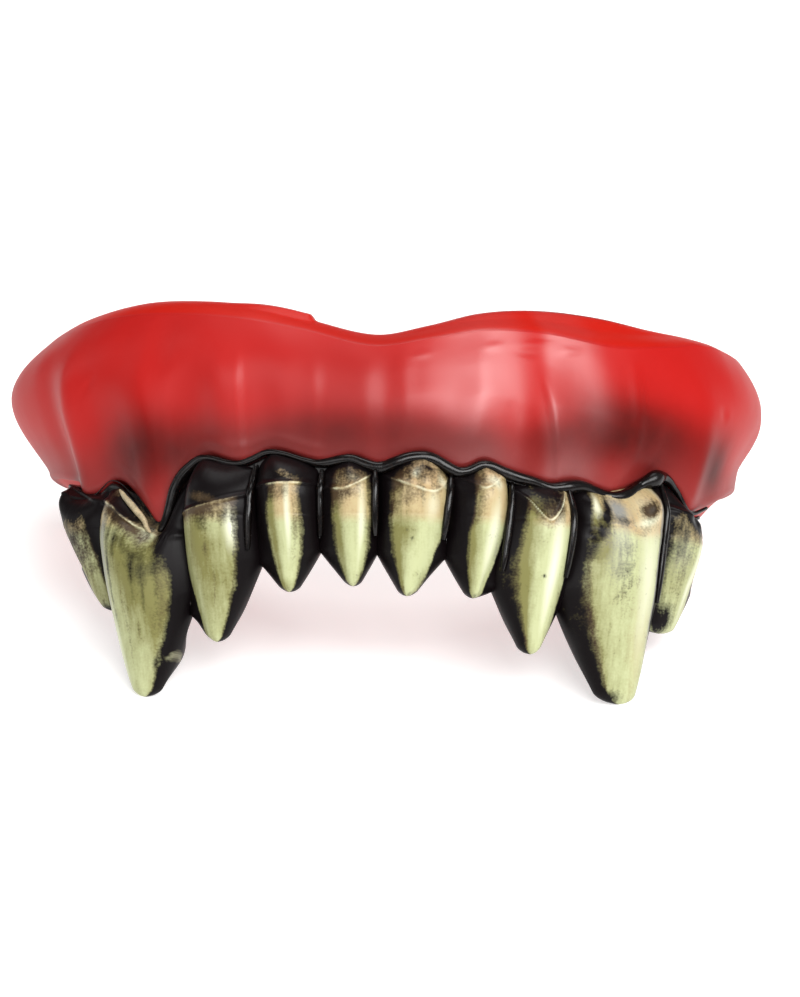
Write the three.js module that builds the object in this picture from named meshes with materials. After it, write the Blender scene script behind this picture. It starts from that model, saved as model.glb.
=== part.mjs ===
import * as THREE from 'three';

// Monster costume teeth: the upper set. A moulded red gum tray carries a dark bed with ten pointed teeth.
// Millimetres, +Z up. The set is first laid out level: x to the right as seen from the front, y to the
// back, z = 0 at the middle of the gum line. It is then leaned back to stand on its fangs and heels.
// A place on the set is a station along the arch, in degrees from the middle, then how far out it lies
// from the gum line, then its height.

// Arch of the gum line seen from above, part of an ellipse
const ARCH_HALF_WIDTH = 31.3;
const ARCH_DEPTH = 26;
const ARCH_END = 104;

// Gum tray
const RIM_WALL = 3.0;
const RIM_CROWN = 0.35;
const BELLY_POWER = 1.5;
const BELLY_SHARE = 0.6;
const WALL_AT_BELLY = 3.6;
const EDGE_ROUND = 1;
const INNER_FRONT = -5.3;
const INNER_BACK = -13.6;
const LINGUAL_WALL = 2.0;
const LINGUAL_HEIGHT = 7.0;
const FLOOR_THICKNESS = 2.2;
const LIP_ROUND = 0.35;
const ROOT_SPREAD = 3.6;
const HEEL_STEP = 4;
const OUTER_SHARES = [0.05, 0.15, 0.3, 0.45, 0.6, 0.75, 0.9, 1];

// Tooth bed, with the bead that runs along its upper edge
const BED_START = -66;
const BED_END = 62;
const BED_FACE = -0.5;
const BED_THICKNESS = 2.1;
const BED_EDGE_ROUND = 0.6;
const BED_STEP = 2;
const BED_REACH = 0.4;
const BEAD_OUT = 0.6;
const BEAD_HEIGHT = 1.0;
const BEAD_TURNS = [-90, -45, 0, 45, 90];
const GAP = 0.3;

// Teeth
const TOOTH_SEAT = BED_FACE + GAP;
const NECK_MARGIN = 0.5;
const NECK_DROP = 2 * GAP + BEAD_HEIGHT + NECK_MARGIN;
const NECK_REACH = 2.6;
const WEB_CLEARANCE = 1;
const TIP_THICKNESS = 1.1;
const RINGS = 13;
const RING_SIDES = 16;
const FACE_FULLNESS = 0.72;

// Heels: where the underside is trimmed flat to stand on
const HEEL_DEPTH = 30;
const HEEL_HEIGHT = -3.4;

// One row for each tooth, left to right. width, out and back are the crown's size across, in front of
// its seat and behind it, and skew moves the ridge of its face sideways, as a share of half the width.
// tip is the height of its point, lean and tuck move that point along the arch and outwards. root is
// how far its root swells the gum.
const TEETH = [
  { name: 'back_tooth_left', station: -57.6, width: 6.2, out: 3, back: 1.6, skew: -0.2, tip: -12.8,
    lean: 2.8, tuck: -0.8, root: 0.5 },
  { name: 'fang_left', station: -40.4, width: 7.7, out: 3.6, back: 2.8, skew: -0.3, tip: -20.8,
    lean: 0.4, tuck: 0.2, root: 0.7 },
  { name: 'side_tooth_left', station: -26.4, width: 6.2, out: 3.4, back: 2, skew: -0.2, tip: -16.3,
    lean: 0.1, tuck: 0.2, root: 0.4 },
  { name: 'front_tooth_left_2', station: -14.9, width: 5.4, out: 3, back: 1.4, skew: -0.1, tip: -12.1,
    lean: 0.3, tuck: 0.2, root: 0.4 },
  { name: 'front_tooth_left_1', station: -4.9, width: 4.6, out: 2.8, back: 1.3, skew: 0, tip: -11.6,
    lean: 0.3, tuck: 0.2, root: 0.3 },
  { name: 'front_tooth_right_1', station: 5.7, width: 6, out: 3.2, back: 1.4, skew: 0.05, tip: -12.4,
    lean: -0.7, tuck: 0.2, root: 0.4 },
  { name: 'front_tooth_right_2', station: 15.8, width: 4.5, out: 3, back: 1.6, skew: 0.2, tip: -12.4,
    lean: -0.6, tuck: 0.2, root: 0.4 },
  { name: 'side_tooth_right', station: 25.2, width: 5, out: 3.4, back: 2.6, skew: 0.3, tip: -17,
    lean: -0.8, tuck: 0.2, root: 0.6 },
  { name: 'fang_right', station: 37.7, width: 8, out: 3.6, back: 2.8, skew: 0.3, tip: -20.8,
    lean: 1, tuck: 0.2, root: 0.5 },
  { name: 'back_tooth_right', station: 54.2, width: 5.5, out: 2.6, back: 1.8, skew: 0.2, tip: -14,
    lean: -1.4, tuck: -0.8, root: 0.5 },
];

// Outline of a crown from the neck to the tip, as shares of the tooth's own sizes
const CROWN = [
  { along: 0, width: 0.9, front: 0.62 },
  { along: 0.1, width: 0.98, front: 0.9 },
  { along: 0.2, width: 1, front: 1 },
  { along: 0.42, width: 0.94, front: 0.84 },
  { along: 0.6, width: 0.8, front: 0.66 },
  { along: 0.76, width: 0.6, front: 0.52 },
  { along: 0.9, width: 0.36, front: 0.4 },
  { along: 1, width: 0.14, front: 0.3 },
];

// One row for each section of the gum. rim and top are the heights of the rim's front and inner edge,
// belly and flare how far the wall swells and its rim stands out, under the height of the underside.
// lip is the depth of the ledge over the teeth, drop how far it falls, keel where the underside starts.
const GUM = [
  { station: -104, rim: 8.4, top: 8.8, belly: 2, flare: 0.3, under: -5.2, lip: 2, drop: 1, keel: 6.5 },
  { station: -94, rim: 11, top: 11.4, belly: 3.1, flare: 0.6, under: -5.2, lip: 2, drop: 1, keel: 6.5 },
  { station: -82, rim: 12.5, top: 13, belly: 3.4, flare: 0.8, under: -5.4, lip: 2.2, drop: 0.9, keel: 6 },
  { station: -68, rim: 13.1, top: 14.2, belly: 2.9, flare: 0.7, under: -5.6, lip: 2.9, drop: 0, keel: 3.1 },
  { station: -48, rim: 13.3, top: 14.9, belly: 2.2, flare: 0.4, under: -6.6, lip: 2.9, drop: 0, keel: 3.1 },
  { station: -36, rim: 12.9, top: 14.6, belly: 1.8, flare: 0.2, under: -6.8, lip: 2.9, drop: 0, keel: 3.1 },
  { station: -24, rim: 12.1, top: 13.8, belly: 1.5, flare: 0.1, under: -6.2, lip: 2.9, drop: 0, keel: 3.1 },
  { station: -14, rim: 11, top: 12.4, belly: 1.3, flare: 0, under: -6, lip: 2.9, drop: 0, keel: 3.1 },
  { station: -2, rim: 9.4, top: 11, belly: 1.2, flare: 0, under: -6, lip: 2.9, drop: 0, keel: 3.1 },
  { station: 7, rim: 10.1, top: 11.9, belly: 1.2, flare: 0, under: -6, lip: 2.9, drop: 0, keel: 3.1 },
  { station: 16, rim: 11, top: 13.2, belly: 1.4, flare: 0, under: -6, lip: 2.9, drop: 0, keel: 3.1 },
  { station: 26, rim: 11, top: 13.8, belly: 1.6, flare: 0.1, under: -6, lip: 2.9, drop: 0, keel: 3.1 },
  { station: 38, rim: 10.4, top: 13.8, belly: 1.9, flare: 0.2, under: -6, lip: 2.9, drop: 0, keel: 3.1 },
  { station: 50, rim: 10.7, top: 13.4, belly: 2.2, flare: 0.4, under: -6, lip: 2.9, drop: 0, keel: 3.1 },
  { station: 66, rim: 11.5, top: 13, belly: 2.5, flare: 0.7, under: -5.6, lip: 2.9, drop: 0, keel: 3.1 },
  { station: 80, rim: 11.7, top: 12.5, belly: 2.1, flare: 0.8, under: -5.4, lip: 2.2, drop: 0.9, keel: 6 },
  { station: 94, rim: 10.3, top: 10.9, belly: 1.9, flare: 0.6, under: -5.2, lip: 2, drop: 1, keel: 6.5 },
  { station: 104, rim: 7.8, top: 8.2, belly: 1.5, flare: 0.3, under: -5.2, lip: 2, drop: 1, keel: 6.5 },
];

// Gum line, scalloped over the crowns, with one deep point of gum beside the left fang
const GUM_LINE = [
  { station: -104, height: 1.2 },
  { station: -84, height: 0.9 },
  { station: -64, height: -0.4 },
  { station: -56, height: -2 },
  { station: -49, height: -2.7 },
  { station: -43, height: -4.4 },
  { station: -38.5, height: -6 },
  { station: -36, height: -3.6 },
  { station: -33.5, height: -1 },
  { station: -30, height: 0.1 },
  { station: -23.5, height: -0.6 },
  { station: -18, height: 0.3 },
  { station: -10, height: -0.7 },
  { station: -5, height: -0.3 },
  { station: 6, height: 0.15 },
  { station: 13, height: -0.4 },
  { station: 18, height: -0.2 },
  { station: 22.5, height: -1.2 },
  { station: 27, height: -2 },
  { station: 32, height: -1.7 },
  { station: 38.5, height: -2.4 },
  { station: 45.5, height: -0.8 },
  { station: 49, height: 0 },
  { station: 53, height: -1.1 },
  { station: 57, height: -3 },
  { station: 63, height: -2.3 },
  { station: 73, height: -0.8 },
  { station: 84, height: 0.6 },
  { station: 104, height: 1.2 },
];

// Lower edge of the bed, arched up between the crowns
const WEB = [
  { station: -66, height: -8 },
  { station: -49.5, height: -11.5 },
  { station: -32, height: -13.6 },
  { station: -20.5, height: -9.4 },
  { station: -9.6, height: -8.5 },
  { station: -0.2, height: -8.4 },
  { station: 11.4, height: -8.7 },
  { station: 20.3, height: -11.2 },
  { station: 30.4, height: -12.4 },
  { station: 48.4, height: -12.6 },
  { station: 62, height: -9 },
];

// Arch

function arch(station) {
  const angle = THREE.MathUtils.degToRad(station);
  const along = new THREE.Vector2(ARCH_HALF_WIDTH * Math.cos(angle), ARCH_DEPTH * Math.sin(angle));
  return {
    x: ARCH_HALF_WIDTH * Math.sin(angle),
    y: ARCH_DEPTH * (1 - Math.cos(angle)),
    outward: new THREE.Vector2(along.y, -along.x).normalize(),
    perDegree: THREE.MathUtils.degToRad(along.length()),
  };
}

function place(station, out, height) {
  const { x, y, outward } = arch(station);
  return new THREE.Vector3(x + outward.x * out, y + outward.y * out, height);
}

// A value of a column at a place between two rows, on a smooth curve through all the rows
function between(rows, column, at, key = 'station') {
  const next = THREE.MathUtils.clamp(rows.findIndex((row) => row[key] >= at), 1, rows.length - 1);
  const [before, from, to, after] = [-2, -1, 0, 1].map((step) => rows[next + step] ?? rows[next]);
  const slope = (first, second) => (second[column] - first[column]) / (second[key] - first[key]);
  const span = to[key] - from[key];
  const fromSlope = next > 1 ? slope(before, to) : slope(from, to);
  const toSlope = after !== to ? slope(from, after) : slope(from, to);
  const t = (at - from[key]) / span;
  const ease = t * t * (3 - 2 * t);
  const bend = t * (1 - t) * (fromSlope * (1 - t) - toSlope * t) * span;
  return THREE.MathUtils.lerp(from[column], to[column], ease) + bend;
}

function gumLine(station) {
  return between(GUM_LINE, 'height', station);
}

// Lowest gum line within a reach to each side, so that what lies under it clears the line's steep stretches
function lowestLine(station, reach) {
  return Math.min(...[-1, -0.5, 0, 0.5, 1].map((share) => gumLine(station + share * reach)));
}

function webEdge(station) {
  return between(WEB, 'height', station);
}

// Standing plane, through the fang tips and the heels
const fang = TEETH.find((tooth) => tooth.name === 'fang_left');
const fangTipOut = fang.out * CROWN[CROWN.length - 1].front + fang.tuck - TIP_THICKNESS / 2;
const fangTip = place(fang.station + fang.lean / arch(fang.station).perDegree, fangTipOut, fang.tip);
const standingSlope = (HEEL_HEIGHT - fangTip.z) / (HEEL_DEPTH - fangTip.y);

function standingHeight(y) {
  return fangTip.z + standingSlope * (y - fangTip.y);
}

// Closed solid through sections of equal length. A section has its points in space, and the triangles
// that would close it as an end.
function loft(sections) {
  const count = sections[0].points.length;
  const positions = sections.flatMap(({ points }) => points.flatMap((point) => point.toArray()));
  const triangles = [];
  for (let ring = 0; ring + 1 < sections.length; ring += 1) {
    for (let side = 0; side < count; side += 1) {
      const a = ring * count + side;
      const b = ring * count + ((side + 1) % count);
      triangles.push([a, b, b + count], [a, b + count, a + count]);
    }
  }
  const lastRing = (sections.length - 1) * count;
  sections[0].cap.forEach(([a, b, c]) => triangles.push([c, b, a]));
  sections[sections.length - 1].cap.forEach((corners) => {
    triangles.push(corners.map((corner) => corner + lastRing));
  });
  const geometry = new THREE.BufferGeometry();
  geometry.setAttribute('position', new THREE.Float32BufferAttribute(positions, 3));
  geometry.setIndex(facingOut(positions, triangles).flat());
  geometry.computeVertexNormals();
  return geometry;
}

function facingOut(positions, triangles) {
  const corner = (index) => new THREE.Vector3().fromArray(positions, index * 3);
  const volume = triangles.reduce((sum, [a, b, c]) => sum + corner(a).dot(corner(b).cross(corner(c))), 0);
  return volume > 0 ? triangles : triangles.map(([a, b, c]) => [a, c, b]);
}

function stations(from, to, step) {
  const count = Math.round((to - from) / step);
  return Array.from({ length: count + 1 }, (unused, index) => from + ((to - from) * index) / count);
}

function sectionAt(station, outline) {
  const flat = outline.map(([out, height]) => new THREE.Vector2(out, height));
  const triangles = THREE.ShapeUtils.triangulateShape(flat, []);
  const cap = THREE.ShapeUtils.area(flat) > 0 ? triangles : triangles.map((corners) => corners.reverse());
  return { cap, points: outline.map(([out, height]) => place(station, out, height)) };
}

// Gum tray

function rootSwelling(station, share) {
  const fade = Math.cos((share * Math.PI) / 2);
  return TEETH.reduce((sum, tooth) => {
    const distance = (station - tooth.station) / ROOT_SPREAD;
    return sum + tooth.root * fade * Math.exp(-distance * distance);
  }, 0);
}

function gumFace(station, share) {
  const swell = between(GUM, 'belly', station) * Math.sin(Math.PI * share ** BELLY_POWER);
  return swell + between(GUM, 'flare', station) * share + rootSwelling(station, share);
}

function gumSection(station) {
  const line = gumLine(station);
  const [rim, top, under] = ['rim', 'top', 'under'].map((column) => between(GUM, column, station));
  const [lip, drop, keel] = ['lip', 'drop', 'keel'].map((column) => between(GUM, column, station));
  const floor = under + FLOOR_THICKNESS;
  const lingualTop = floor + LINGUAL_HEIGHT;
  const rimOut = gumFace(station, 1);
  const height = (share) => THREE.MathUtils.lerp(line, rim, share);
  const outerFace = [
    [-keel, under],
    [-lip, line - drop],
    [-LIP_ROUND, line],
    ...OUTER_SHARES.map((share) => [gumFace(station, share), height(share)]),
    [rimOut - RIM_WALL / 2, (rim + top) / 2 + RIM_CROWN],
  ];
  const hollow = [
    [rimOut - RIM_WALL, top],
    [gumFace(station, BELLY_SHARE) - WALL_AT_BELLY, height(BELLY_SHARE)],
    [INNER_FRONT, floor + EDGE_ROUND],
    [INNER_FRONT - EDGE_ROUND, floor],
    [INNER_BACK + EDGE_ROUND, floor],
    [INNER_BACK, floor + EDGE_ROUND],
    [INNER_BACK, lingualTop - EDGE_ROUND / 2],
  ];
  const lingualFace = [
    [INNER_BACK - LINGUAL_WALL / 2, lingualTop],
    [INNER_BACK - LINGUAL_WALL, lingualTop - EDGE_ROUND],
    [INNER_BACK - LINGUAL_WALL, under + EDGE_ROUND],
    [INNER_BACK - LINGUAL_WALL + EDGE_ROUND, under],
  ];
  const section = sectionAt(station, [...outerFace, ...hollow, ...lingualFace]);
  section.points.forEach((point, index) => {
    const inHollow = index >= outerFace.length && index < outerFace.length + hollow.length;
    point.z = Math.max(point.z, standingHeight(point.y) + (inHollow ? FLOOR_THICKNESS : 0));
  });
  return section;
}

// Over the bed the gum has its sections at the bed's own stations, so that the two stay clear
function gumTray() {
  const heelLeft = stations(-ARCH_END, BED_START - HEEL_STEP, HEEL_STEP);
  const overBed = stations(BED_START, BED_END, BED_STEP);
  const heelRight = stations(BED_END + HEEL_STEP, ARCH_END, HEEL_STEP);
  return loft([...heelLeft, ...overBed, ...heelRight].map(gumSection));
}

// Tooth bed

function bedSection(station) {
  const top = lowestLine(station, BED_REACH) - GAP;
  const bottom = webEdge(station);
  const beadMiddle = top - BEAD_HEIGHT / 2;
  const back = BED_FACE - BED_THICKNESS;
  const bead = BEAD_TURNS.map((turn) => {
    const angle = THREE.MathUtils.degToRad(turn);
    return [BED_FACE + BEAD_OUT * Math.cos(angle), beadMiddle + (BEAD_HEIGHT / 2) * Math.sin(angle)];
  });
  return sectionAt(station, [
    [back, bottom + BED_EDGE_ROUND],
    [back + BED_EDGE_ROUND, bottom],
    [BED_FACE - BED_EDGE_ROUND, bottom],
    [BED_FACE, bottom + BED_EDGE_ROUND],
    [BED_FACE, (bottom + top) / 2],
    ...bead,
    [back, top],
  ]);
}

function toothBed() {
  return loft(stations(BED_START, BED_END, BED_STEP).map(bedSection));
}

// Teeth

// Ends of a crown, closed in strips straight from its face to its back so that they follow the gum line
const crownCap = [];
for (let side = -RING_SIDES / 4; side < RING_SIDES / 4; side += 1) {
  const [a, b] = [side, side + 1].map((front) => (front + RING_SIDES) % RING_SIDES);
  const [c, d] = [side + 1, side].map((front) => RING_SIDES / 2 - front);
  if (b !== c) crownCap.push([a, b, c]);
  if (a !== d) crownCap.push([a, c, d]);
}

function toothRing(tooth, along) {
  const { perDegree } = arch(tooth.station);
  const halfWidth = (tooth.width / 2) * between(CROWN, 'width', along, 'along');
  const shift = tooth.lean * along;
  const front = tooth.out * between(CROWN, 'front', along, 'along') + tooth.tuck * along ** 2;
  const tipBack = tooth.out * CROWN[CROWN.length - 1].front + tooth.tuck - TIP_THICKNESS;
  const points = [];
  for (let side = 0; side < RING_SIDES; side += 1) {
    const angle = (2 * Math.PI * side) / RING_SIDES;
    const facing = Math.cos(angle);
    const across = shift + halfWidth * (Math.sin(angle) + tooth.skew * Math.max(facing, 0) ** 2);
    const station = tooth.station + across / perDegree;
    const neck = lowestLine(station, NECK_REACH) - NECK_DROP;
    const height = THREE.MathUtils.lerp(neck, tooth.tip, along);
    const clear = webEdge(station) - WEB_CLEARANCE;
    const below = THREE.MathUtils.clamp((clear - height) / (clear - tooth.tip), 0, 1);
    const seat = THREE.MathUtils.lerp(TOOTH_SEAT, tipBack, below);
    const fullness = tooth.back * Math.sin(Math.PI * below) * Math.abs(facing);
    const out = facing > 0 ? THREE.MathUtils.lerp(seat, front, facing ** FACE_FULLNESS) : seat - fullness;
    points.push(place(station, out, height));
  }
  const standing = along === 1 && tooth.name.startsWith('fang');
  points.forEach((point) => {
    const floor = standingHeight(point.y);
    point.z = standing ? floor : Math.max(point.z, floor);
  });
  return { cap: crownCap, points };
}

function toothCrown(tooth) {
  return loft(Array.from({ length: RINGS }, (unused, ring) => toothRing(tooth, ring / (RINGS - 1))));
}

// Finishes
const gumVinyl = new THREE.MeshStandardMaterial({ color: '#c8302a', roughness: 0.28, metalness: 0 });
const blackVinyl = new THREE.MeshStandardMaterial({ color: '#171113', roughness: 0.25, metalness: 0 });
const stainedVinyl = new THREE.MeshStandardMaterial({ color: '#d9dda8', roughness: 0.35, metalness: 0 });

function piece(name, geometry, material) {
  const mesh = new THREE.Mesh(geometry, material);
  mesh.name = name;
  return mesh;
}

// The set, leaned back onto its standing plane, with the origin under the middle of its box
const leaned = new THREE.Group();
leaned.add(piece('gum_tray', gumTray(), gumVinyl), piece('tooth_bed', toothBed(), blackVinyl));
TEETH.forEach((tooth) => leaned.add(piece(tooth.name, toothCrown(tooth), stainedVinyl)));
leaned.rotation.x = -Math.atan(standingSlope);

const costumeTeeth = new THREE.Group();
costumeTeeth.add(leaned);
const box = new THREE.Box3().setFromObject(costumeTeeth, true);
const middle = box.getCenter(new THREE.Vector3());
leaned.position.set(-middle.x, -middle.y, -box.min.z);

export default costumeTeeth;
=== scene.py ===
import math

import bpy
import numpy as np
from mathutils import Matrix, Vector, noise


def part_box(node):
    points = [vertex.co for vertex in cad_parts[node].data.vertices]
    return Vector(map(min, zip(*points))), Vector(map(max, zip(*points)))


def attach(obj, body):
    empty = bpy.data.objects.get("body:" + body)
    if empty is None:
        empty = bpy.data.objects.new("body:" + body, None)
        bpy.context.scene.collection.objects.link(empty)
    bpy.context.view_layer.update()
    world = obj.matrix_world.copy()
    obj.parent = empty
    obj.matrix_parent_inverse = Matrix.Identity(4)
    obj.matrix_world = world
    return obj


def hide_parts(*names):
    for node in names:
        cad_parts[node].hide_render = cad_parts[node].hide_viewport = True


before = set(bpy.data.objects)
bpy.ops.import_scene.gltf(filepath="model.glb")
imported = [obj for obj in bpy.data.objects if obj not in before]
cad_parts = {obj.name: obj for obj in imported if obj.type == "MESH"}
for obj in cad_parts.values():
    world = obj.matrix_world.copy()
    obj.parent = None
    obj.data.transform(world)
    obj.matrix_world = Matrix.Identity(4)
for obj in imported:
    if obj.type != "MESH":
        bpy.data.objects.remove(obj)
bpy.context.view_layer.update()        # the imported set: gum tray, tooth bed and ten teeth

mm = 0.001  # sizes below are in millimetres, meshes are written in metres


# Layout. The set is worked out level, then leaned back onto its fang tips and heels as the frame has it.
# A place is a station along the arch in degrees from the middle, a distance out from the gum line, a height.

archSizes = {"halfWidth": 31.3, "depth": 26.0, "endStation": 104.0}
standing = {"fangStation": -40.4, "fangLean": 0.4, "fangOut": 0.73, "fangTip": -20.8, "heelDepth": 30.0,
            "heelHeight": -3.4}


def archPlace(station, out, height):
    angle = np.radians(station)
    alongX = archSizes["halfWidth"] * np.cos(angle)
    alongY = archSizes["depth"] * np.sin(angle)
    length = np.hypot(alongX, alongY)
    x = archSizes["halfWidth"] * np.sin(angle) + out * alongY / length
    y = archSizes["depth"] * (1 - np.cos(angle)) - out * alongX / length
    return np.stack(np.broadcast_arrays(x, y, height), axis=-1)


def mmPerDegree(station):
    angle = math.radians(station)
    return math.radians(math.hypot(archSizes["halfWidth"] * math.cos(angle), archSizes["depth"] * math.sin(angle)))


def between(rows, column, at):  # smooth curve through one column of a table keyed by its first column
    keys = np.array([row[0] for row in rows], float)
    values = np.array([row[column] for row in rows], float)
    slopes = np.empty_like(values)
    slopes[1:-1] = (values[2:] - values[:-2]) / (keys[2:] - keys[:-2])
    slopes[0] = (values[1] - values[0]) / (keys[1] - keys[0])
    slopes[-1] = (values[-1] - values[-2]) / (keys[-1] - keys[-2])
    after = np.clip(np.searchsorted(keys, at), 1, len(keys) - 1)
    before = after - 1
    span = keys[after] - keys[before]
    t = (at - keys[before]) / span
    bend = t * (1 - t) * (slopes[before] * (1 - t) - slopes[after] * t) * span
    return values[before] + (values[after] - values[before]) * t * t * (3 - 2 * t) + bend


def ease(low, high, value):  # 0 below low, 1 above high
    t = np.clip((value - low) / (high - low), 0, 1)
    return t * t * (3 - 2 * t)


def mix(first, second, share):
    return first + (second - first) * share


def hump(value, left, right):  # 1 at zero, falling off with its own width on each side
    return np.exp(-(value / np.where(value < 0, left, right)) ** 2)


fangDegrees = standing["fangStation"] + standing["fangLean"] / mmPerDegree(standing["fangStation"])
fangFoot = archPlace(fangDegrees, standing["fangOut"], standing["fangTip"])
standSlope = (standing["heelHeight"] - fangFoot[2]) / (standing["heelDepth"] - fangFoot[1])
leanAngle = -math.atan(standSlope)


def standHeight(y):
    return fangFoot[2] + standSlope * (y - fangFoot[1])


def leanBack(points):  # turns level points about x, with the standing plane at height zero
    cosine, sine = math.cos(leanAngle), math.sin(leanAngle)
    x, y, z = points[..., 0], points[..., 1], points[..., 2]
    footHeight = fangFoot[1] * sine + fangFoot[2] * cosine
    return np.stack([x, y * cosine - z * sine, y * sine + z * cosine - footHeight], axis=-1)


gumLineRows = [  # station, height: scalloped over the crowns, one deep point beside the left fang
    (-104, 1.2), (-84, 0.9), (-68, -0.2), (-62, -0.9), (-58, -2.3), (-54.5, -2.1), (-51, -1.2), (-48, -1.5),
    (-44.6, -2.8), (-41, -4.5), (-38, -6.1), (-36.2, -4.6), (-34.8, -2.4), (-33, -0.9), (-30, 0.1), (-23.5, -0.6),
    (-18, 0.3), (-10, -0.7), (-5, -0.3), (-0.7, -0.9), (4, -0.1), (7, 0.0), (11.2, -1.1), (13, -1.1), (15.8, -0.5),
    (19.4, -1.1), (22.5, -1.6), (27, -2.1), (32, -1.7), (38.5, -2.4), (45.5, -0.8), (49, 0.0), (53, -1.1),
    (57, -3.0), (63, -2.3), (73, -0.8), (84, 0.6), (104, 1.2)]
webRows = [  # station, height: lower edge of the bed, arched up between the crowns
    (-66, -8.0), (-49.5, -11.5), (-32, -13.6), (-20.2, -9.1), (-10.0, -8.1), (-0.7, -8.1), (10.0, -8.4),
    (19.6, -11.0), (30.4, -11.2), (48.4, -12.4), (62, -9.0)]


def gumLine(station):
    return between(gumLineRows, 1, station)


def webEdge(station):
    return between(webRows, 1, station)


def lowestLine(station, reach):  # lowest point of the gum line within reach to either side
    return np.minimum.reduce([gumLine(station + share * reach) for share in (-1, -0.5, 0, 0.5, 1)])


# Meshes

standShift = np.zeros(3)  # set from the frame once the plain gum is known


def finishPoints(points):  # level millimetres to the frame's metres
    return (leanBack(points) + standShift) * mm


def addObject(name, data):
    thing = bpy.data.objects.new(name, data)
    bpy.context.scene.collection.objects.link(thing)
    return thing


def addLayer(mesh, key, values):  # a number or a vector at each point, for the materials to read
    flat = np.asarray(values, np.float32).reshape(len(mesh.vertices), -1)
    kind, field = ("FLOAT", "value") if flat.shape[1] == 1 else ("FLOAT_VECTOR", "vector")
    mesh.attributes.new(key, kind, "POINT").data.foreach_set(field, flat.reshape(-1))


def tubeMesh(name, points, material, attributes):
    # points are rings of equal length, closed round and capped at both ends
    rings, sides = points.shape[:2]
    corners = finishPoints(points).reshape(-1, 3)
    ring, side = np.meshgrid(np.arange(rings - 1), np.arange(sides), indexing="ij")
    nextSide = (side + 1) % sides
    quads = np.stack([ring * sides + side, ring * sides + nextSide,
                      (ring + 1) * sides + nextSide, (ring + 1) * sides + side], axis=-1).reshape(-1, 4)
    first, second, third = corners[quads[:, 0]], corners[quads[:, 1]], corners[quads[:, 2]]
    inward = np.einsum("ij,ij->i", first, np.cross(second, third)).sum() < 0
    startCap = list(range(sides))[::-1]
    endCap = list(range((rings - 1) * sides, rings * sides))
    faces = quads.tolist() + [startCap, endCap]
    if inward:
        faces = [face[::-1] for face in faces]
    mesh = bpy.data.meshes.new(name)
    mesh.from_pydata(corners.tolist(), [], faces)
    mesh.polygons.foreach_set("use_smooth", [True] * (len(faces) - 2) + [False] * 2)
    for key, values in attributes.items():
        addLayer(mesh, key, values)
    mesh.materials.append(material)
    mesh.validate()
    mesh.update()
    return addObject(name, mesh)


def settle(piece, slotName, *nodes):
    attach(piece, "root")
    if nodes:
        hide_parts(*nodes)
    print("made", piece.name, len(piece.data.polygons), "faces")


# Materials

def linear(hexColour):
    channels = [int(hexColour[place:place + 2], 16) / 255 for place in (1, 3, 5)]
    return [c / 12.92 if c <= 0.04045 else ((c + 0.055) / 1.055) ** 2.4 for c in channels] + [1.0]


def setInputs(tree, node, links):  # values or sockets for a node's inputs, by name or, after _, by place
    for key, value in links.items():
        place = int(key[1:]) if key.startswith("_") else key.replace("_", " ")
        if isinstance(value, bpy.types.NodeSocket):
            tree.links.new(value, node.inputs[place])
        else:
            node.inputs[place].default_value = value


def addNode(tree, kind, settings=None, **links):  # settings are the node's own properties
    node = tree.nodes.new(kind)
    for key, value in (settings or {}).items():
        setattr(node, key, value)
    setInputs(tree, node, links)
    return node


def newMaterial(name):
    material = bpy.data.materials.new(name)
    material.use_nodes = True
    return material, material.node_tree, material.node_tree.nodes["Principled BSDF"]


gumFinish = {
    "face": "#a61512", "rim": "#b0170b", "low": "#84302e", "smoke": "#361311", "roughness": 0.42, "shine": 0.46,
    "cloudSize": 4.0, "cloudBand": (0.3, 0.7), "cloudStrength": (0.88, 1.1), "lumpSize": 1.6, "lumpHeight": 0.1,
    "lumpStrength": 0.15, "scatter": 0.1, "scatterDepth": 0.5, "scatterColour": (1.0, 0.2, 0.12)}


def gumVinyl():
    # soft vinyl, moulded glossy and sprayed red, with a dark airbrushed haze: wet-looking, blurred reflections
    finish = gumFinish
    material, tree, shader = newMaterial("soft vinyl, sprayed red")
    flat = addNode(tree, "ShaderNodeAttribute", {"attribute_name": "flat"}).outputs["Vector"]
    masks = {name: addNode(tree, "ShaderNodeAttribute", {"attribute_name": name}).outputs["Fac"]
             for name in ("smoke", "rim", "low", "gloss")}
    cloud = addNode(tree, "ShaderNodeTexNoise", Vector=flat, Scale=1 / finish["cloudSize"], Detail=3.0)
    (thin, thick), (weak, strong) = finish["cloudBand"], finish["cloudStrength"]
    patch = addNode(tree, "ShaderNodeMapRange", Value=cloud.outputs["Fac"], _1=thin, _2=thick, _3=weak, _4=strong)
    masks["smoke"] = addNode(tree, "ShaderNodeMath", {"operation": "MULTIPLY", "use_clamp": True}, _0=masks["smoke"],
                             _1=patch.outputs["Result"]).outputs[0]
    colour = linear(finish["face"])
    for coat in ("rim", "low", "smoke"):
        colour = addNode(tree, "ShaderNodeMix", {"data_type": "RGBA"}, _0=masks[coat], _6=colour,
                         _7=linear(finish[coat])).outputs[2]
    lumps = addNode(tree, "ShaderNodeTexNoise", Vector=flat, Scale=1 / finish["lumpSize"], Detail=4.0)
    bump = addNode(tree, "ShaderNodeBump", Height=lumps.outputs["Fac"], Strength=finish["lumpStrength"],
                   Distance=finish["lumpHeight"] * mm)
    shine = addNode(tree, "ShaderNodeMath", {"operation": "MULTIPLY"}, _0=masks["gloss"], _1=finish["shine"])
    setInputs(tree, shader, {
        "Base Color": colour, "Normal": bump.outputs["Normal"], "Roughness": finish["roughness"],
        "Specular IOR Level": shine.outputs[0], "Subsurface Weight": finish["scatter"],
        "Subsurface Scale": finish["scatterDepth"] * mm, "Subsurface Radius": finish["scatterColour"]})
    return material


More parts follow.
